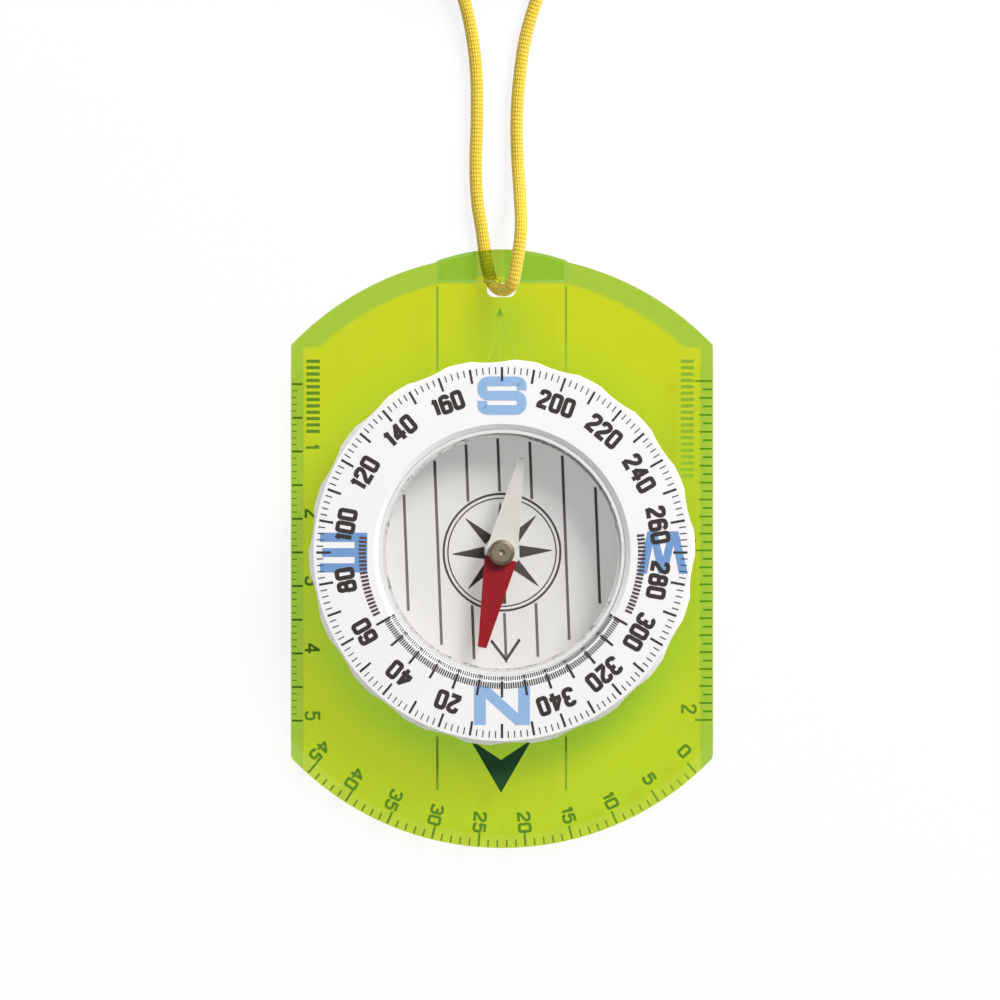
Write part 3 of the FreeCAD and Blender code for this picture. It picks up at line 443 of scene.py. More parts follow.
# Lime acrylic, dyed and injection moulded: sharp reflections, very faint flow marks. Light on
# its way to the floor passes straight through, tinted.
def makeLime():
    acrylic = {"roughness": 0.02, "ior": 1.49, "marks": 0.004, "markSize": 7.0, "faces": 2.5, "density": 45.0,
               "shade": (0.96, 0.98, 0.74, 1), "absorb": (0.62, 0.80, 0.10, 1)}
    material, tree = newMaterial("lime_acrylic")
    glass = addNode(tree, "ShaderNodeBsdfPrincipled", inputs={
        "Base Color": limeTint(tree), "Roughness": acrylic["roughness"], "IOR": acrylic["ior"],
        "Transmission Weight": 1.0,
        "Normal": bumpOf(tree, grain(tree, acrylic["markSize"], 1.0, (1, 0.35, 1)), acrylic["marks"])})
    passing = addNode(tree, "ShaderNodeBsdfTransparent", inputs={"Color": acrylic["shade"]})
    path = addNode(tree, "ShaderNodeLightPath")
    lit = compute(tree, "MAXIMUM", path.outputs["Is Shadow Ray"], path.outputs["Is Diffuse Ray"])
    # light caught between the faces leaves straight after a few of them
    caught = compute(tree, "GREATER_THAN", path.outputs["Ray Depth"], acrylic["faces"])
    surface = mixShaders(tree, compute(tree, "MAXIMUM", lit, caught), glass.outputs[0], passing.outputs[0])
    volume = addNode(tree, "ShaderNodeVolumeAbsorption", inputs={
        "Color": acrylic["absorb"], "Density": acrylic["density"]}).outputs[0]
    setSurface(tree, surface, volume)
    return material


# The lime tint: yellower at the lanyard end, greener towards the index end, with a painted shade of greyer
# green along the bevels for light leaving them sideways and a painted shadow round the dial; deepest in the
# thick tab.
def limeTint(tree):
    lime = {"low": "#c6dc32", "middle": "#cbdc30", "high": "#d6dc29", "bevel": "#a2c94c", "tab": "#9bc63c",
            "from": -44.0, "to": 42.0, "middleShare": 0.4, "wander": 0.3, "wanderSize": 22.0,
            "strip": 29.6, "band": 40.2, "bandCentre": 0.45, "bandFoot": 30.0, "bevelShare": 0.75,
            "tabFoot": 39.7, "tabHalf": 9.75, "blur": 0.15, "grooveX": -1.7, "grooveHalf": 2.1,
            "grooveShare": 0.12, "soft": "#b2d13a", "softPlace": (0.0, 33.5), "softReach": 9.0,
            "softShare": 0.75, "dialShadow": "#86c440", "dialShadowInner": 28.6, "dialShadowOuter": 35.5, "dialShadowLow": 0.6,
            "dialShadowHigh": 0.2}
    ramp = lambda entry, edge, first=0.0: remap(
        tree, entry, (edge - lime["blur"]) * mm, (edge + lime["blur"]) * mm, first)
    past = lambda entry, place: compute(tree, "SUBTRACT", entry, place * mm)
    far = lambda x, y: compute(tree, "SQRT", compute(
        tree, "ADD", compute(tree, "MULTIPLY", x, x), compute(tree, "MULTIPLY", y, y)))
    split = addNode(tree, "ShaderNodeSeparateXYZ", inputs={0: objectPlace(tree)})
    across = compute(tree, "ABSOLUTE", split.outputs[0])
    up = split.outputs[1]
    along = remap(tree, up, lime["from"] * mm, lime["to"] * mm)
    wander = compute(tree, "MULTIPLY_ADD", grain(tree, lime["wanderSize"], 1.0), lime["wander"],
                     -lime["wander"] / 2)
    place = addNode(tree, "ShaderNodeMath", {"operation": "ADD", "use_clamp": True}, {
        0: along, 1: wander}).outputs[0]
    lower = blend(tree, remap(tree, place, 0.0, lime["middleShare"]), hexColor(lime["low"]),
                  hexColor(lime["middle"]))
    flat = blend(tree, remap(tree, place, lime["middleShare"], 1.0), lower, hexColor(lime["high"]))
    # painted shade: greyer green along the upper round end and the sides, standing for light that leaves the
    # bevels sideways
    band = compute(tree, "MULTIPLY", ramp(far(past(up, lime["bandCentre"]), across), lime["band"]),
                   ramp(up, lime["bandFoot"]))
    edge = compute(tree, "MULTIPLY", compute(tree, "MAXIMUM", band, ramp(across, lime["strip"])),
                   lime["bevelShare"])
    # a greener patch above the dial
    away = far(past(split.outputs[0], lime["softPlace"][0]), past(up, lime["softPlace"][1]))
    cloud = remap(tree, away, 0.0, lime["softReach"] * mm, lime["softShare"], 0.0, "SMOOTHSTEP")
    flat = blend(tree, cloud, flat, hexColor(lime["soft"]))
    # and a painted shadow of the dial round it, stronger towards the index end
    near = remap(tree, far(past(up, dialCentre[1]), across), lime["dialShadowInner"] * mm, lime["dialShadowOuter"] * mm,
                 1.0, 0.0, "SMOOTHSTEP")
    strength = remap(tree, up, -lime["dialShadowInner"] * mm, 0.0, lime["dialShadowLow"], lime["dialShadowHigh"])
    flat = blend(tree, compute(tree, "MULTIPLY", near, strength), flat, hexColor(lime["dialShadow"]))
    # the groove for the cord leaves little acrylic above it
    thin = ramp(compute(tree, "ABSOLUTE", past(split.outputs[0], lime["grooveX"])), lime["grooveHalf"],
                lime["grooveShare"])
    tab = compute(tree, "MULTIPLY", ramp(up, lime["tabFoot"]),
                  compute(tree, "LESS_THAN", across, lime["tabHalf"] * mm))
    return blend(tree, compute(tree, "MULTIPLY", tab, thin), blend(tree, edge, flat, hexColor(lime["bevel"])),
                 hexColor(lime["tab"]))


# Clear acrylic round a liquid of nearly the same index: light passes unbent and only the lid's
# outer face adds a thin polished reflection. The floor's upper face is frosted and catches the shade.
def makeClear():
    clear = {"frostFoot": 1.4, "frostTop": 1.56, "frost": 0.55, "shineFoot": 8.0, "milky": "#fdfaf8",
             "polish": 0.03, "mottle": 12.0}
    material, tree = newMaterial("clear_acrylic")
    height = addNode(tree, "ShaderNodeSeparateXYZ", inputs={0: objectPlace(tree)}).outputs[2]
    above = lambda edge: compute(tree, "GREATER_THAN", height, clear[edge] * mm)
    passing = addNode(tree, "ShaderNodeBsdfTransparent", inputs={
        "Color": mottled(tree, "#fefefe", "#fcfcfb", clear["mottle"])})
    milky = addNode(tree, "ShaderNodeBsdfDiffuse", inputs={"Color": hexColor(clear["milky"])})
    layer = compute(tree, "SUBTRACT", above("frostFoot"), above("frostTop"))
    frosted = compute(tree, "MULTIPLY", layer, clear["frost"])
    body = mixShaders(tree, frosted, passing.outputs[0], milky.outputs[0])
    polish = addNode(tree, "ShaderNodeBsdfGlossy", inputs={"Color": (1, 1, 1, 1), "Roughness": clear["polish"]})
    mirror = addNode(tree, "ShaderNodeFresnel", inputs={"IOR": 1.49}).outputs[0]
    shine = compute(tree, "MULTIPLY", mirror, above("shineFoot"))
    shadow = addNode(tree, "ShaderNodeLightPath").outputs["Is Shadow Ray"]
    shown = remap(tree, shadow, 0.0, 1.0, shine, 0.0)
    setSurface(tree, mixShaders(tree, shown, body, polish.outputs[0]))
    return material


# Injection-moulded ABS or nylon: satin, with the fine grain of a spark-eroded mould.
def makePlastic(name, first, second, roughness):
    skin = {"mottle": 6.0, "grain": 0.18, "depth": 0.006}
    material, tree = newMaterial(name)
    shader = addNode(tree, "ShaderNodeBsdfPrincipled", inputs={
        "Base Color": mottled(tree, first, second, skin["mottle"]), "Roughness": roughness, "IOR": 1.52,
        "Normal": bumpOf(tree, grain(tree, skin["grain"]), skin["depth"])})
    setSurface(tree, shader.outputs[0])
    return material


# Screen-printed ink: a thin satin film, a little uneven in strength.
def makeInk(name, first, second):
    skin = {"mottle": 0.6, "roughness": 0.5, "shine": 0.3, "grain": 0.12, "depth": 0.003}
    material, tree = newMaterial(name)
    shader = addNode(tree, "ShaderNodeBsdfPrincipled", inputs={
        "Base Color": mottled(tree, first, second, skin["mottle"]), "Roughness": skin["roughness"],
        "IOR": 1.5, "Specular IOR Level": skin["shine"],
        "Normal": bumpOf(tree, grain(tree, skin["grain"]), skin["depth"])})
    setSurface(tree, shader.outputs[0])
    return material


# Turned brass or steel: fine rings round the axis from the lathe tool.
def makeTurnedMetal(name, first, second, roughness):
    skin = {"mottle": 0.5, "rings": 1800.0, "waver": 0.6, "depth": 0.004}
    material, tree = newMaterial(name)
    rings = addNode(tree, "ShaderNodeTexWave", {"wave_type": "RINGS", "rings_direction": "Z"}, {
        "Vector": dialPlace(tree), "Scale": skin["rings"], "Distortion": skin["waver"]}).outputs[1]
    shader = addNode(tree, "ShaderNodeBsdfPrincipled", inputs={
        "Base Color": mottled(tree, first, second, skin["mottle"]), "Metallic": 1.0, "Roughness": roughness,
        "Normal": bumpOf(tree, rings, skin["depth"])})
    setSurface(tree, shader.outputs[0])
    return material


# Enamelled steel strip: red on the north half, white on the other, smooth and slightly glossy.
def makeEnamel():
    needle = {"clockwise": 11.8, "split": -0.9, "mottle": 3.0, "roughness": 0.3, "wave": 1.2, "depth": 0.01}
    material, tree = newMaterial("needle_enamel")
    turn = addNode(tree, "ShaderNodeVectorRotate", {"rotation_type": "Z_AXIS"}, {
        "Vector": dialPlace(tree), "Angle": math.radians(needle["clockwise"])}).outputs[0]
    along = addNode(tree, "ShaderNodeSeparateXYZ", inputs={0: turn}).outputs[1]
    south = compute(tree, "GREATER_THAN", along, needle["split"] * mm)
    red = mottled(tree, "#b3202c", "#a81c28", needle["mottle"])
    white = mottled(tree, "#fbf9f5", "#f6f3ee", needle["mottle"])
    shader = addNode(tree, "ShaderNodeBsdfPrincipled", inputs={
        "Base Color": blend(tree, south, red, white), "Roughness": needle["roughness"], "IOR": 1.5,
        "Normal": bumpOf(tree, grain(tree, needle["wave"]), needle["depth"])})
    setSurface(tree, shader.outputs[0])
    return material


# Synthetic ruby cup: a small glassy bead.
def makeJewel():
    material, tree = newMaterial("jewel")
    shader = addNode(tree, "ShaderNodeBsdfPrincipled", inputs={
        "Base Color": mottled(tree, "#efe6d6", "#e4d6c0", 0.6), "Roughness": 0.08, "IOR": 1.76})
    setSurface(tree, shader.outputs[0])
    return material


def dressFrame():
    lime = makeLime()
    clear = makeClear()
    rubber = makeRubber("pale_rubber", "#efedea", "#e6e3df", 0.7)
    dress(nodes["baseplate"], lime)
    dress(nodes["bezel_friction_washer"], makePlastic("washer_nylon", "#dfe6cf", "#d6dec4", 0.5))
    dress(nodes["bezel_ring"], makePlastic("white_abs", "#fbf9fa", "#f6f4f5", 0.38))
    dress(nodes["retaining_ring"], makePlastic("white_abs_ring", "#f2f0ef", "#eceae9", 0.42))
    for name in ("capsule_cup", "capsule_lid", "filler_plug"):
        dress(nodes[name], clear)
    for name in ("capsule_friction_ring", "lid_gasket"):
        dress(nodes[name], rubber)
    dress(nodes["pivot_post"], makeTurnedMetal("turned_brass", "#c9a452", "#b98f42", 0.28))
    dress(nodes["pivot_pin"], makeTurnedMetal("pin_steel", "#c9cbcf", "#b5b8bd", 0.2))
    dress(nodes["needle_blade"], makeEnamel())
    dress(nodes["needle_hub"], makeTurnedMetal("hub_brass", "#b9ae98", "#a79c86", 0.6))
    dress(nodes["jewel_cup"], makeJewel())


dressFrame()
print("frame dressed")

# ink above the face it is printed on, in millimetres
film = {"gap": 0.004, "under": 0.022, "over": 0.034, "step": 0.003}


# height of the baseplate's upper face: flat, with bevels along the sides and both round ends
def plateLevel(x, y):
    shape = {"halfWidth": plateHigh.x, "side": 2.0, "upper": 3.3, "lower": 2.0, "edge": 1.5,
             "radius": 43.5, "upperCentre": 0.45, "lowerCentre": -1.2}
    drop = plateTop - shape["edge"]
    side = shape["edge"] + (shape["halfWidth"] - np.abs(x)) * drop / shape["side"]
    upper = shape["edge"] + (shape["radius"] - np.hypot(x, y - shape["upperCentre"])) * drop / shape["upper"]
    lower = shape["edge"] + (shape["radius"] - np.hypot(x, y - shape["lowerCentre"])) * drop / shape["lower"]
    return np.minimum(np.minimum(side, plateTop), np.where(y > 0, upper, lower))


# height of the dial's face: a small bevel inside, flat, and a slope outside
def dialLevel(x, y):
    radius = np.hypot(x - dialCentre[0], y - dialCentre[1])
    shape = {"inner": 19.1, "innerWidth": 0.75, "innerDrop": 0.5, "outer": 28.0, "outerWidth": 0.7,
             "outerDrop": 1.3}
    inside = np.clip((shape["inner"] - radius) / shape["innerWidth"], 0, 1) * shape["innerDrop"]
    outside = np.clip((radius - shape["outer"]) / shape["outerWidth"], 0, 1) * shape["outerDrop"]
    return dialTop - inside - outside


# the capsule's floor is flat
def capsuleLevel(x, y):
    floorTop = 1.5
    return np.full(np.shape(x), floorTop)


# Straight strips of ink. Point = start + (end - start) * s, plus or minus half the width to
# the side, on the face below it and one film higher.
def strips(starts, ends, widths, level, thick, steps=1):
    starts, ends = np.asarray(starts, float), np.asarray(ends, float)
    along = ends - starts
    unit = along / np.linalg.norm(along, axis=1, keepdims=True)
    half = np.broadcast_to(np.asarray(widths, float), len(starts))[:, None] / 2
    side = np.stack([-unit[:, 1], unit[:, 0]], axis=1) * half
    share = np.linspace(0, 1, steps + 1)[None, :, None]
    line = starts[:, None, :] + along[:, None, :] * share
    left, right = line + side[:, None, :], line - side[:, None, :]
    flat = np.stack([left, right, right, left], axis=2)
    lift = np.array([film["gap"], film["gap"], thick, thick])
    points = np.concatenate([flat, (level(flat[..., 0], flat[..., 1]) + lift)[..., None]], axis=3)
    rows = steps + 1
    number = np.arange(len(starts) * rows * 4).reshape(len(starts), rows, 4)
    following = np.roll(number, -1, axis=2)
    quads = np.stack([number[:, :-1], number[:, 1:], following[:, 1:], following[:, :-1]], axis=-1)
    faces = quads.reshape(-1, 4).tolist() + number[:, 0].tolist() + number[:, -1, ::-1].tolist()
    return points.reshape(-1, 3), [tuple(face) for face in faces]


# A ring of ink about the dial's axis, from one radius to another.
def inkRing(inner, outer, level, thick, steps=180):
    turn = np.linspace(0, 2 * np.pi, steps, endpoint=False)[:, None]
    radius = np.array([inner, outer, outer, inner])[None, :]
    x, y = dialCentre[0] + radius * np.cos(turn), dialCentre[1] + radius * np.sin(turn)
    lift = np.array([film["gap"], film["gap"], thick, thick])
    points = np.stack([x, y, level(x, y) + lift], axis=-1).reshape(-1, 3)
    return points, gridFaces(steps, 4, True)


# A flat shape of ink with corners given anticlockwise.
def inkShape(corners, level, thick):
    corners = np.asarray(corners, float)
    count = len(corners)
    base = level(corners[:, 0], corners[:, 1])
    points = np.concatenate([np.column_stack([corners, base + film["gap"]]),
                             np.column_stack([corners, base + thick])])
    faces = [tuple(range(count - 1, -1, -1)), tuple(range(count, 2 * count))]
    faces += [(number, (number + 1) % count, (number + 1) % count + count, number + count)
              for number in range(count)]
    return points, faces


# Figures as pen lines through control points in a cell one unit high and so many wide; a True
# line is closed. Three letters are outlines in a cell one unit each way, and S is a pen line.
figures = {
    "0": (1.0, [(True, [(0.5, 0), (1, 0), (1, 0.35), (1, 0.65), (1, 1), (0.5, 1), (0, 1), (0, 0.65),
                        (0, 0.35), (0, 0)])]),
    "1": (0.62, [(False, [(0.85, 0), (0.85, 1)]), (False, [(0.0, 0.74), (0.45, 0.82), (0.8, 1.03)])]),
    "2": (1.0, [(False, [(0, 0.72), (0, 1), (1, 1), (1, 0.62), (0.1, 0.22), (0.0, 0.02)]),
                (False, [(-0.2, 0), (1.1, 0)])]),
    "3": (1.0, [(False, [(0, 0.8), (0.05, 1), (1, 1), (1, 0.54), (0.35, 0.54)]),
                (False, [(0.35, 0.54), (1, 0.54), (1, 0), (0, 0), (0, 0.22)])]),
    "4": (1.1, [(False, [(0.72, 1), (0, 0.34)]), (False, [(-0.15, 0.28), (1.15, 0.28)]),
                (False, [(0.72, -0.08), (0.72, 1.08)])]),
    "5": (1.0, [(False, [(1.05, 1), (0.08, 1)]), (False, [(0.12, 1.08), (0.03, 0.5)]),
                (False, [(0.03, 0.52), (0.3, 0.64), (1, 0.64), (1, 0), (0, 0), (0, 0.22)])]),
    "6": (1.0, [(True, [(0.5, 0), (1, 0), (1, 0.3), (1, 0.58), (0.5, 0.58), (0, 0.58), (0, 0.3), (0, 0)]),
                (False, [(0, 0.3), (0, 0.75), (0.1, 1), (0.9, 1), (1, 0.8)])]),
    "8": (1.0, [(True, [(0.5, 0), (1, 0), (1, 0.27), (1, 0.54), (0.5, 0.54), (0, 0.54), (0, 0.27), (0, 0)]),
                (True, [(0.5, 0.54), (0.95, 0.54), (0.95, 1), (0.5, 1), (0.05, 1), (0.05, 0.54)])]),
}
letters = {
    "N": [(0, 0), (0.21, 0), (0.21, 0.7), (0.74, 0), (1, 0), (1, 1), (0.79, 1), (0.79, 0.3), (0.26, 1), (0, 1)],
    "E": [(0, 0), (1, 0), (1, 0.23), (0.27, 0.23), (0.27, 0.39), (0.96, 0.39), (0.96, 0.61), (0.27, 0.61),
          (0.27, 0.77), (1, 0.77), (1, 1), (0, 1)],
    "W": [(0.19, 0), (0.38, 0), (0.5, 0.6), (0.62, 0), (0.81, 0), (1, 1), (0.82, 1), (0.71, 0.33), (0.59, 1),
          (0.41, 1), (0.29, 0.33), (0.18, 1), (0, 1)],
    "S": [(1, 0.68), (1, 1), (0.65, 1), (0.35, 1), (0, 1), (0, 0.5), (0.35, 0.5), (0.65, 0.5), (1, 0.5),
          (1, 0), (0.65, 0), (0.35, 0), (0, 0), (0, 0.32)],
}


# a line of control points with its corners cut three times
def rounded(points, closed):
    line = np.asarray(points, float)
    for _ in range(3):
        start, following = (line, np.roll(line, -1, axis=0)) if closed else (line[:-1], line[1:])
        inside = np.stack([0.75 * start + 0.25 * following, 0.25 * start + 0.75 * following], axis=1)
        inside = inside.reshape(-1, 2)
        line = inside if closed else np.concatenate([line[:1], inside, line[-1:]])
    return line


# A pen line of even width. Point = line plus or minus half the width to the side, on the face
# below it and one film higher.
def inkLine(line, closed, width, level, thick):
    ahead = np.roll(line, -1, axis=0) - np.roll(line, 1, axis=0) if closed else np.gradient(line, axis=0)
    ahead /= np.linalg.norm(ahead, axis=1, keepdims=True)
    side = np.stack([-ahead[:, 1], ahead[:, 0]], axis=1) * width / 2
    flat = np.stack([line + side, line - side, line - side, line + side], axis=1)
    lift = np.array([film["gap"], film["gap"], thick, thick])
    points = np.concatenate([flat, (level(flat[..., 0], flat[..., 1]) + lift)[..., None]], axis=2)
    faces = gridFaces(len(line), 4, closed)
    if not closed:
        last = 4 * len(line)
        faces += [(0, 1, 2, 3), (last - 1, last - 2, last - 3, last - 4)]
    return points.reshape(-1, 3), faces


# points of a cell in millimetres, turned anticlockwise about a place
def turned(points, place, turn):
    bend = math.radians(turn)
    return np.stack([place[0] + points[:, 0] * math.cos(bend) - points[:, 1] * math.sin(bend),
                     place[1] + points[:, 0] * math.sin(bend) + points[:, 1] * math.cos(bend)], axis=1)


# a number centred on a place; size is the width of a figure, the height, the pen and the gap
def inkNumber(text, place, size, turn, level, thick):
    width, height, pen, gap = size
    cells = [figures[figure][0] * width for figure in text]
    start = -(sum(cells) + gap * (len(text) - 1)) / 2
    parts = []
    for figure, cell in zip(text, cells):
        # each pen line is a little thicker than the one before, so that no two faces coincide
        for order, (closed, control) in enumerate(figures[figure][1]):
            line = rounded(control, closed) * (cell - pen, height - pen)
            line += (start + pen / 2, (pen - height) / 2)
            parts.append(inkLine(turned(line, place, turn), closed, pen, level, thick + order * film["step"]))
        start += cell + gap
    return parts


# a letter centred on a place, stretched to a width and height
def inkLetter(letter, place, size, pen, turn, level, thick):
    if letter == "S":
        line = (rounded(letters[letter], False) - 0.5) * (size[0] - pen, size[1] - pen)
        return inkLine(turned(line, place, turn), False, pen, level, thick)
    corners = (np.array(letters[letter]) - 0.5) * size
    return inkShape(turned(corners, place, turn), level, thick)


# places on the dial by radius and by degrees clockwise from +Y
def onDial(angle, radius):
    turn = np.radians(np.asarray(angle, float))
    return np.stack([dialCentre[0] + radius * np.sin(turn), dialCentre[1] + radius * np.cos(turn)], axis=-1)


def makeDialPrint():
    black = makeInk("ink_black", "#37332f", "#413c39")
    pale = makeInk("ink_blue", "#8fb3dd", "#9dbfe4")
    strong = makeInk("ink_strong_blue", "#6f97cb", "#7ba2d3")
    brown = makeInk("ink_brown", "#4f4445", "#5e5153")
    dial = {"outer": 27.55, "fineInner": 26.55, "tenInner": 25.45, "fineWidth": 0.15, "tenWidth": 0.34,
            "numeralRadius": 23.55, "numeral": (1.8, 2.95, 0.64, 0.1),
            "scaleInner": 18.42, "scaleFine": 20.25, "scaleLong": 21.5, "scaleFrom": 120, "scaleTo": 240,
            "scaleFineWidth": 0.2, "scaleLongWidth": 0.36,
            "labels": ((83, 116), (244, 277)), "labelStep": 1.6, "labelFrom": 20.2, "labelTo": 21.3,
            "labelWidth": 0.36, "letterPen": 1.45}
    fine = np.array([angle for angle in range(0, 360, 2) if angle % 10])
    tens = np.arange(0, 360, 10)
    parts = [
        strips(onDial(fine, dial["outer"]), onDial(fine, dial["fineInner"]), dial["fineWidth"], dialLevel,
               film["over"]),
        strips(onDial(tens, dial["outer"]), onDial(tens, dial["tenInner"]), dial["tenWidth"], dialLevel,
               film["over"]),
    ]
    # the dial is set with its north at the index arrow, half a turn from +Y
    for bearing in range(20, 360, 20):
        if bearing % 180:
            angle = bearing + 180
            parts += inkNumber(str(bearing), onDial(angle, dial["numeralRadius"]), dial["numeral"], -angle,
                               dialLevel, film["over"])
    makePiece("dial_degrees", *joined(parts), black, "bezel")

    # letter, clockwise angle from +Y, radius of its middle, width and height
    placed = {"dial_letters": (pale, [("N", 180, 22.75, (8.3, 5.7)), ("S", 0, 23.3, (7.3, 5.7))]),
              "dial_side_letters": (strong, [("E", 270, 23.5, (7.0, 5.9)), ("W", 90, 23.9, (7.4, 6.3))])}
    for name, (ink, rows) in placed.items():
        parts = [inkLetter(letter, onDial(angle, radius), size, dial["letterPen"], 180, dialLevel,
                           film["under"]) for letter, angle, radius, size in rows]
        makePiece(name, *joined(parts), ink, "bezel")

    # declination scale inside the index end
    low = np.arange(dial["scaleFrom"], dial["scaleTo"] + 1)
    long = np.arange(dial["scaleFrom"], dial["scaleTo"] + 1, 10)
    parts = [
        strips(onDial(low, dial["scaleInner"]), onDial(low, dial["scaleFine"]), dial["scaleFineWidth"],
               dialLevel, film["under"], 3),
        strips(onDial(long, dial["scaleInner"]), onDial(long, dial["scaleLong"]), dial["scaleLongWidth"],
               dialLevel, film["over"], 4),
    ]
    makePiece("dial_declination", *joined(parts), black, "bezel")
    # plain bars where the real dial has words
    bars = np.concatenate([np.arange(*span, dial["labelStep"]) for span in dial["labels"]])
    makePiece("dial_labels", *strips(onDial(bars, dial["labelFrom"]), onDial(bars, dial["labelTo"]),
                                     dial["labelWidth"], dialLevel, film["over"]), brown, "bezel")


def makeCapsulePrint():
    grey = makeInk("ink_grey", "#7d7673", "#88817d")
    dark = makeInk("ink_rose", "#57514d", "#625c57")
    mark = {"tilt": 2.2, "pitch": 4.77, "rose": 9.1, "upper": 17.0, "lower": 16.5, "width": 0.42,
            "rings": ((8.55, 8.88), (7.98, 8.18)), "spikeFoot": 2.6, "spikeTip": 7.4, "spikeEnd": 0.06,
            "cardinal": 0.95, "diagonal": 0.85, "bar": (5.7, 7.7), "barWidth": 0.7,
            "arrowTip": -16.1, "arrowReach": 2.15, "arrowFoot": -13.1, "arrowWidth": 0.42}
    place = lambda points: turned(np.asarray(points, float), dialCentre, mark["tilt"])
    x = np.arange(-3, 4) * mark["pitch"]
    near = np.sqrt(np.clip(mark["rose"] ** 2 - x ** 2, 0, None))
    parts = []
    for sign, reach in ((1, mark["upper"]), (-1, mark["lower"])):
        far = np.sqrt(reach ** 2 - x ** 2)
        parts.append(strips(place(np.column_stack([x, sign * near])), place(np.column_stack([x, sign * far])),
                            mark["width"], capsuleLevel, film["under"]))
    makePiece("capsule_lines", *joined(parts), grey, "capsule")

    parts = [inkRing(inner, outer, capsuleLevel, film["under"]) for inner, outer in mark["rings"]]
    for number in range(8):
        half = mark["diagonal"] if number % 2 else mark["cardinal"]
        spike = np.array([(-half, mark["spikeFoot"]), (half, mark["spikeFoot"]),
                          (mark["spikeEnd"], mark["spikeTip"]), (-mark["spikeEnd"], mark["spikeTip"])])
        parts.append(inkShape(place(turned(spike, (0, 0), 45 * number)), capsuleLevel, film["over"]))
    parts.append(strips(place([(0, -mark["bar"][0])]), place([(0, -mark["bar"][1])]), mark["barWidth"],
                        capsuleLevel, film["under"]))
    makePiece("capsule_rose", *joined(parts), dark, "capsule")

    arms = [(-mark["arrowReach"], mark["arrowFoot"]), (mark["arrowReach"], mark["arrowFoot"])]
    tips = [(0, mark["arrowTip"])] * 2
    makePiece("capsule_arrow", *strips(place(arms), place(tips), mark["arrowWidth"], capsuleLevel,
                                       film["over"]), dark, "capsule")


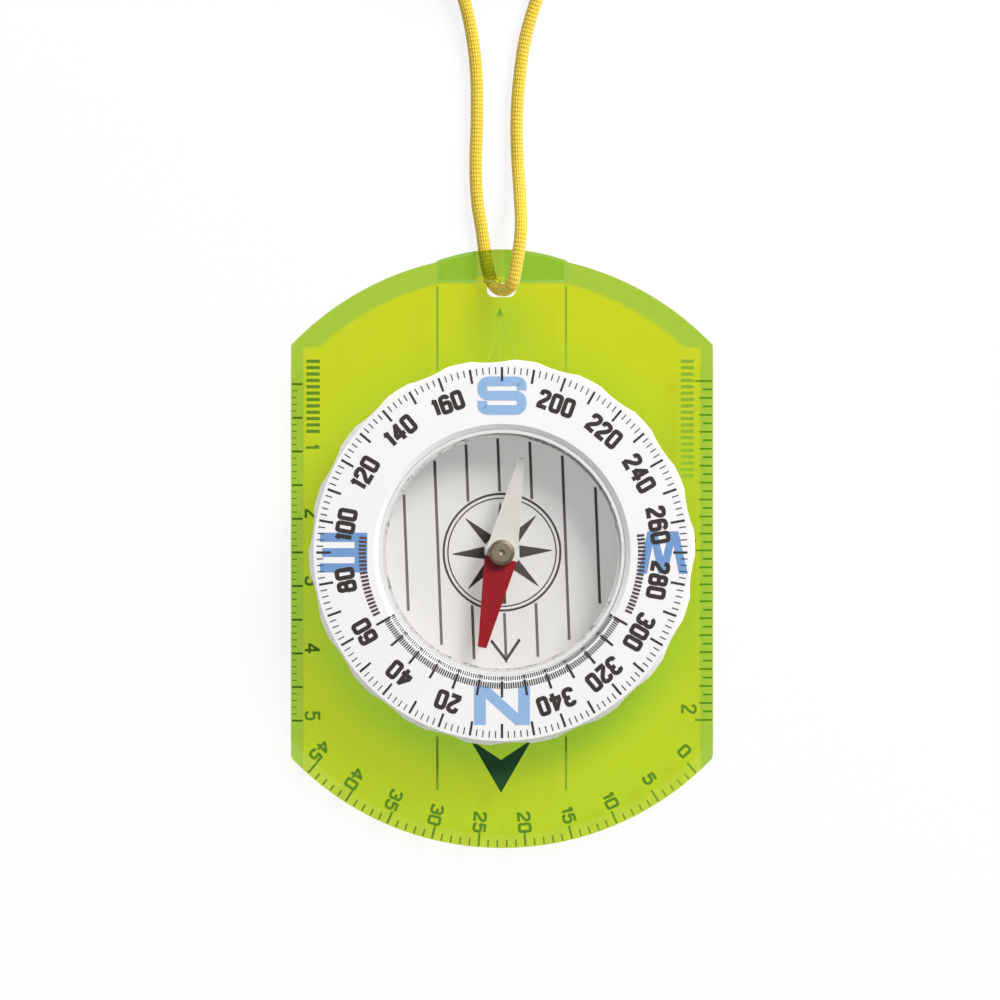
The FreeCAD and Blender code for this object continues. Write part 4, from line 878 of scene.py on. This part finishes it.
def makePlatePrint():
    olive = makeInk("ink_olive", "#7fa824", "#8ab02e")
    faint = makeInk("ink_faint", "#9dbd2e", "#a5c437")
    green = makeInk("ink_green", "#56861a", "#619122")
    deep = makeInk("ink_deep_green", "#23502c", "#2a5a30")
    body = "baseplate_body"
    level = plateLevel

    # guide lines and the long arrow above the dial
    guide = {"left": -9.65, "right": 9.55, "rows": ((39.2, 26.5), (-28.0, -36.0)), "width": 0.34,
             "apex": (-0.3, 35.0), "feet": ((-2.3, 27.2), (2.8, 26.8)), "legWidth": 0.22,
             "stem": ((-0.3, 33.5), (-0.3, 27.4)), "stemWidth": 0.2,
             "head": ((-0.3, 36.0), (-1.0, 34.6), (-0.3, 34.95), (0.4, 34.6)),
             "index": ((-0.15, -31.5), (-4.8, -28.4), (-0.15, -36.4), (4.5, -28.4))}
    starts = [(x, high) for high, low in guide["rows"] for x in (guide["left"], guide["right"])]
    ends = [(x, low) for high, low in guide["rows"] for x in (guide["left"], guide["right"])]
    makePiece("plate_lines", *strips(starts, ends, guide["width"], level, film["under"], 6), olive, body)
    parts = [strips([guide["apex"]] * 2, guide["feet"], guide["legWidth"], level, film["under"], 2),
             strips([guide["stem"][0]], [guide["stem"][1]], guide["stemWidth"], level, film["under"], 2)]
    makePiece("plate_arrow", *joined(parts), faint, body)
    makePiece("plate_arrow_head", *inkShape(guide["head"], level, film["over"]), olive, body)
    makePiece("index_arrow", *inkShape(guide["index"], level, film["over"]), deep, body)

    # plain bars where the real plate names its units
    label = {"left": (-29.2, -27.2), "right": (26.7, 28.6), "leftRows": (28.0, 17.0), "rightRows": (28.0, 10.5),
             "step": 0.95, "width": 0.5}
    for span, rows, ink in (("left", "leftRows", green), ("right", "rightRows", olive)):
        y = np.arange(label[rows][0], label[rows][1], -label["step"])
        makePiece(f"plate_labels_{span}",
                  *strips(np.column_stack([np.full(len(y), label[span][0]), y]),
                          np.column_stack([np.full(len(y), label[span][1]), y]), label["width"], level,
                          film["under"]), ink, body)

    # a straight scale along a side; edge and reaches are signed places across the plate
    def makeRuler(name, edge, ends, y, width, numbers, numberX, lift, size):
        parts = [strips(np.column_stack([np.full(len(y), edge), y]), np.column_stack([ends, y]), width, level,
                        film["under"], 6)]
        for text, up in numbers:
            parts += inkNumber(text, (numberX, up + lift), size, -90, level, film["under"])
        makePiece(name, *joined(parts), green, body)

    rule = {"cmZero": 24.6, "cmStep": 10.05, "millimetres": 51, "inchZero": 25.07, "inchStep": 25.3,
            "parts": 20, "inset": 0.15, "cmLong": 1.75, "cmShort": 0.85, "cmBold": 0.3, "cmFine": 0.13,
            "inchLong": 2.7, "inchEven": 2.05, "inchOdd": 1.5, "inchWidth": 0.28,
            "figure": (1.4, 2.35, 0.38, 0.1), "cmFigureX": -28.3, "inchFigureX": 27.9,
            "cmLift": 0.75, "inchLift": 1.6}
    side = plateHigh.x
    count = np.arange(rule["millimetres"])
    bold = count % 5 == 0
    makeRuler("ruler_centimetres", rule["inset"] - side, np.where(bold, rule["cmLong"], rule["cmShort"]) - side,
              rule["cmZero"] - count * rule["cmStep"] / 10, np.where(bold, rule["cmBold"], rule["cmFine"]),
              [(str(number), rule["cmZero"] - number * rule["cmStep"]) for number in range(1, 6)],
              rule["cmFigureX"], rule["cmLift"], rule["figure"])
    count = np.arange(2 * rule["parts"] + 1)
    reach = np.where(count % rule["parts"] == 0, rule["inchLong"],
                     np.where(count % 2 == 0, rule["inchEven"], rule["inchOdd"]))
    makeRuler("ruler_inches", side - rule["inset"], side - reach,
              rule["inchZero"] - count * rule["inchStep"] / rule["parts"], rule["inchWidth"],
              [(str(number), rule["inchZero"] - number * rule["inchStep"]) for number in (1, 2)],
              rule["inchFigureX"], rule["inchLift"], rule["figure"])

    # scale of 45 parts along the round end
    arc = {"centre": -1.2, "edge": 43.35, "long": 41.3, "short": 42.25, "sweep": 83.9, "parts": 45,
           "bold": 0.34, "fine": 0.24, "numberStep": 9.6, "numberRadius": 39.75,
           "figure": (1.5, 2.05, 0.42, 0.12)}
    count = np.arange(arc["parts"] + 1)
    middle = np.array([0, arc["centre"]])
    angle = np.radians((arc["parts"] / 2 - count) * arc["sweep"] / arc["parts"])
    heading = np.stack([np.sin(angle), -np.cos(angle)], axis=1)
    bold = count % 5 == 0
    inner = np.where(bold, arc["long"], arc["short"])[:, None]
    makePiece("arc_ticks", *strips(middle + arc["edge"] * heading, middle + inner * heading,
                                   np.where(bold, arc["bold"], arc["fine"]), level, film["under"], 6),
              olive, body)
    parts = []
    for number in range(0, arc["parts"] + 1, 5):
        lean = (arc["parts"] / 2 - number) / 5 * arc["numberStep"]
        heading = np.array([math.sin(math.radians(lean)), -math.cos(math.radians(lean))])
        parts += inkNumber(str(number), middle + arc["numberRadius"] * heading, arc["figure"], lean - 90, level,
                           film["under"])
    makePiece("arc_numbers", *joined(parts), green, body)


makeDialPrint()
makeCapsulePrint()
makePlatePrint()
print("printing ready")
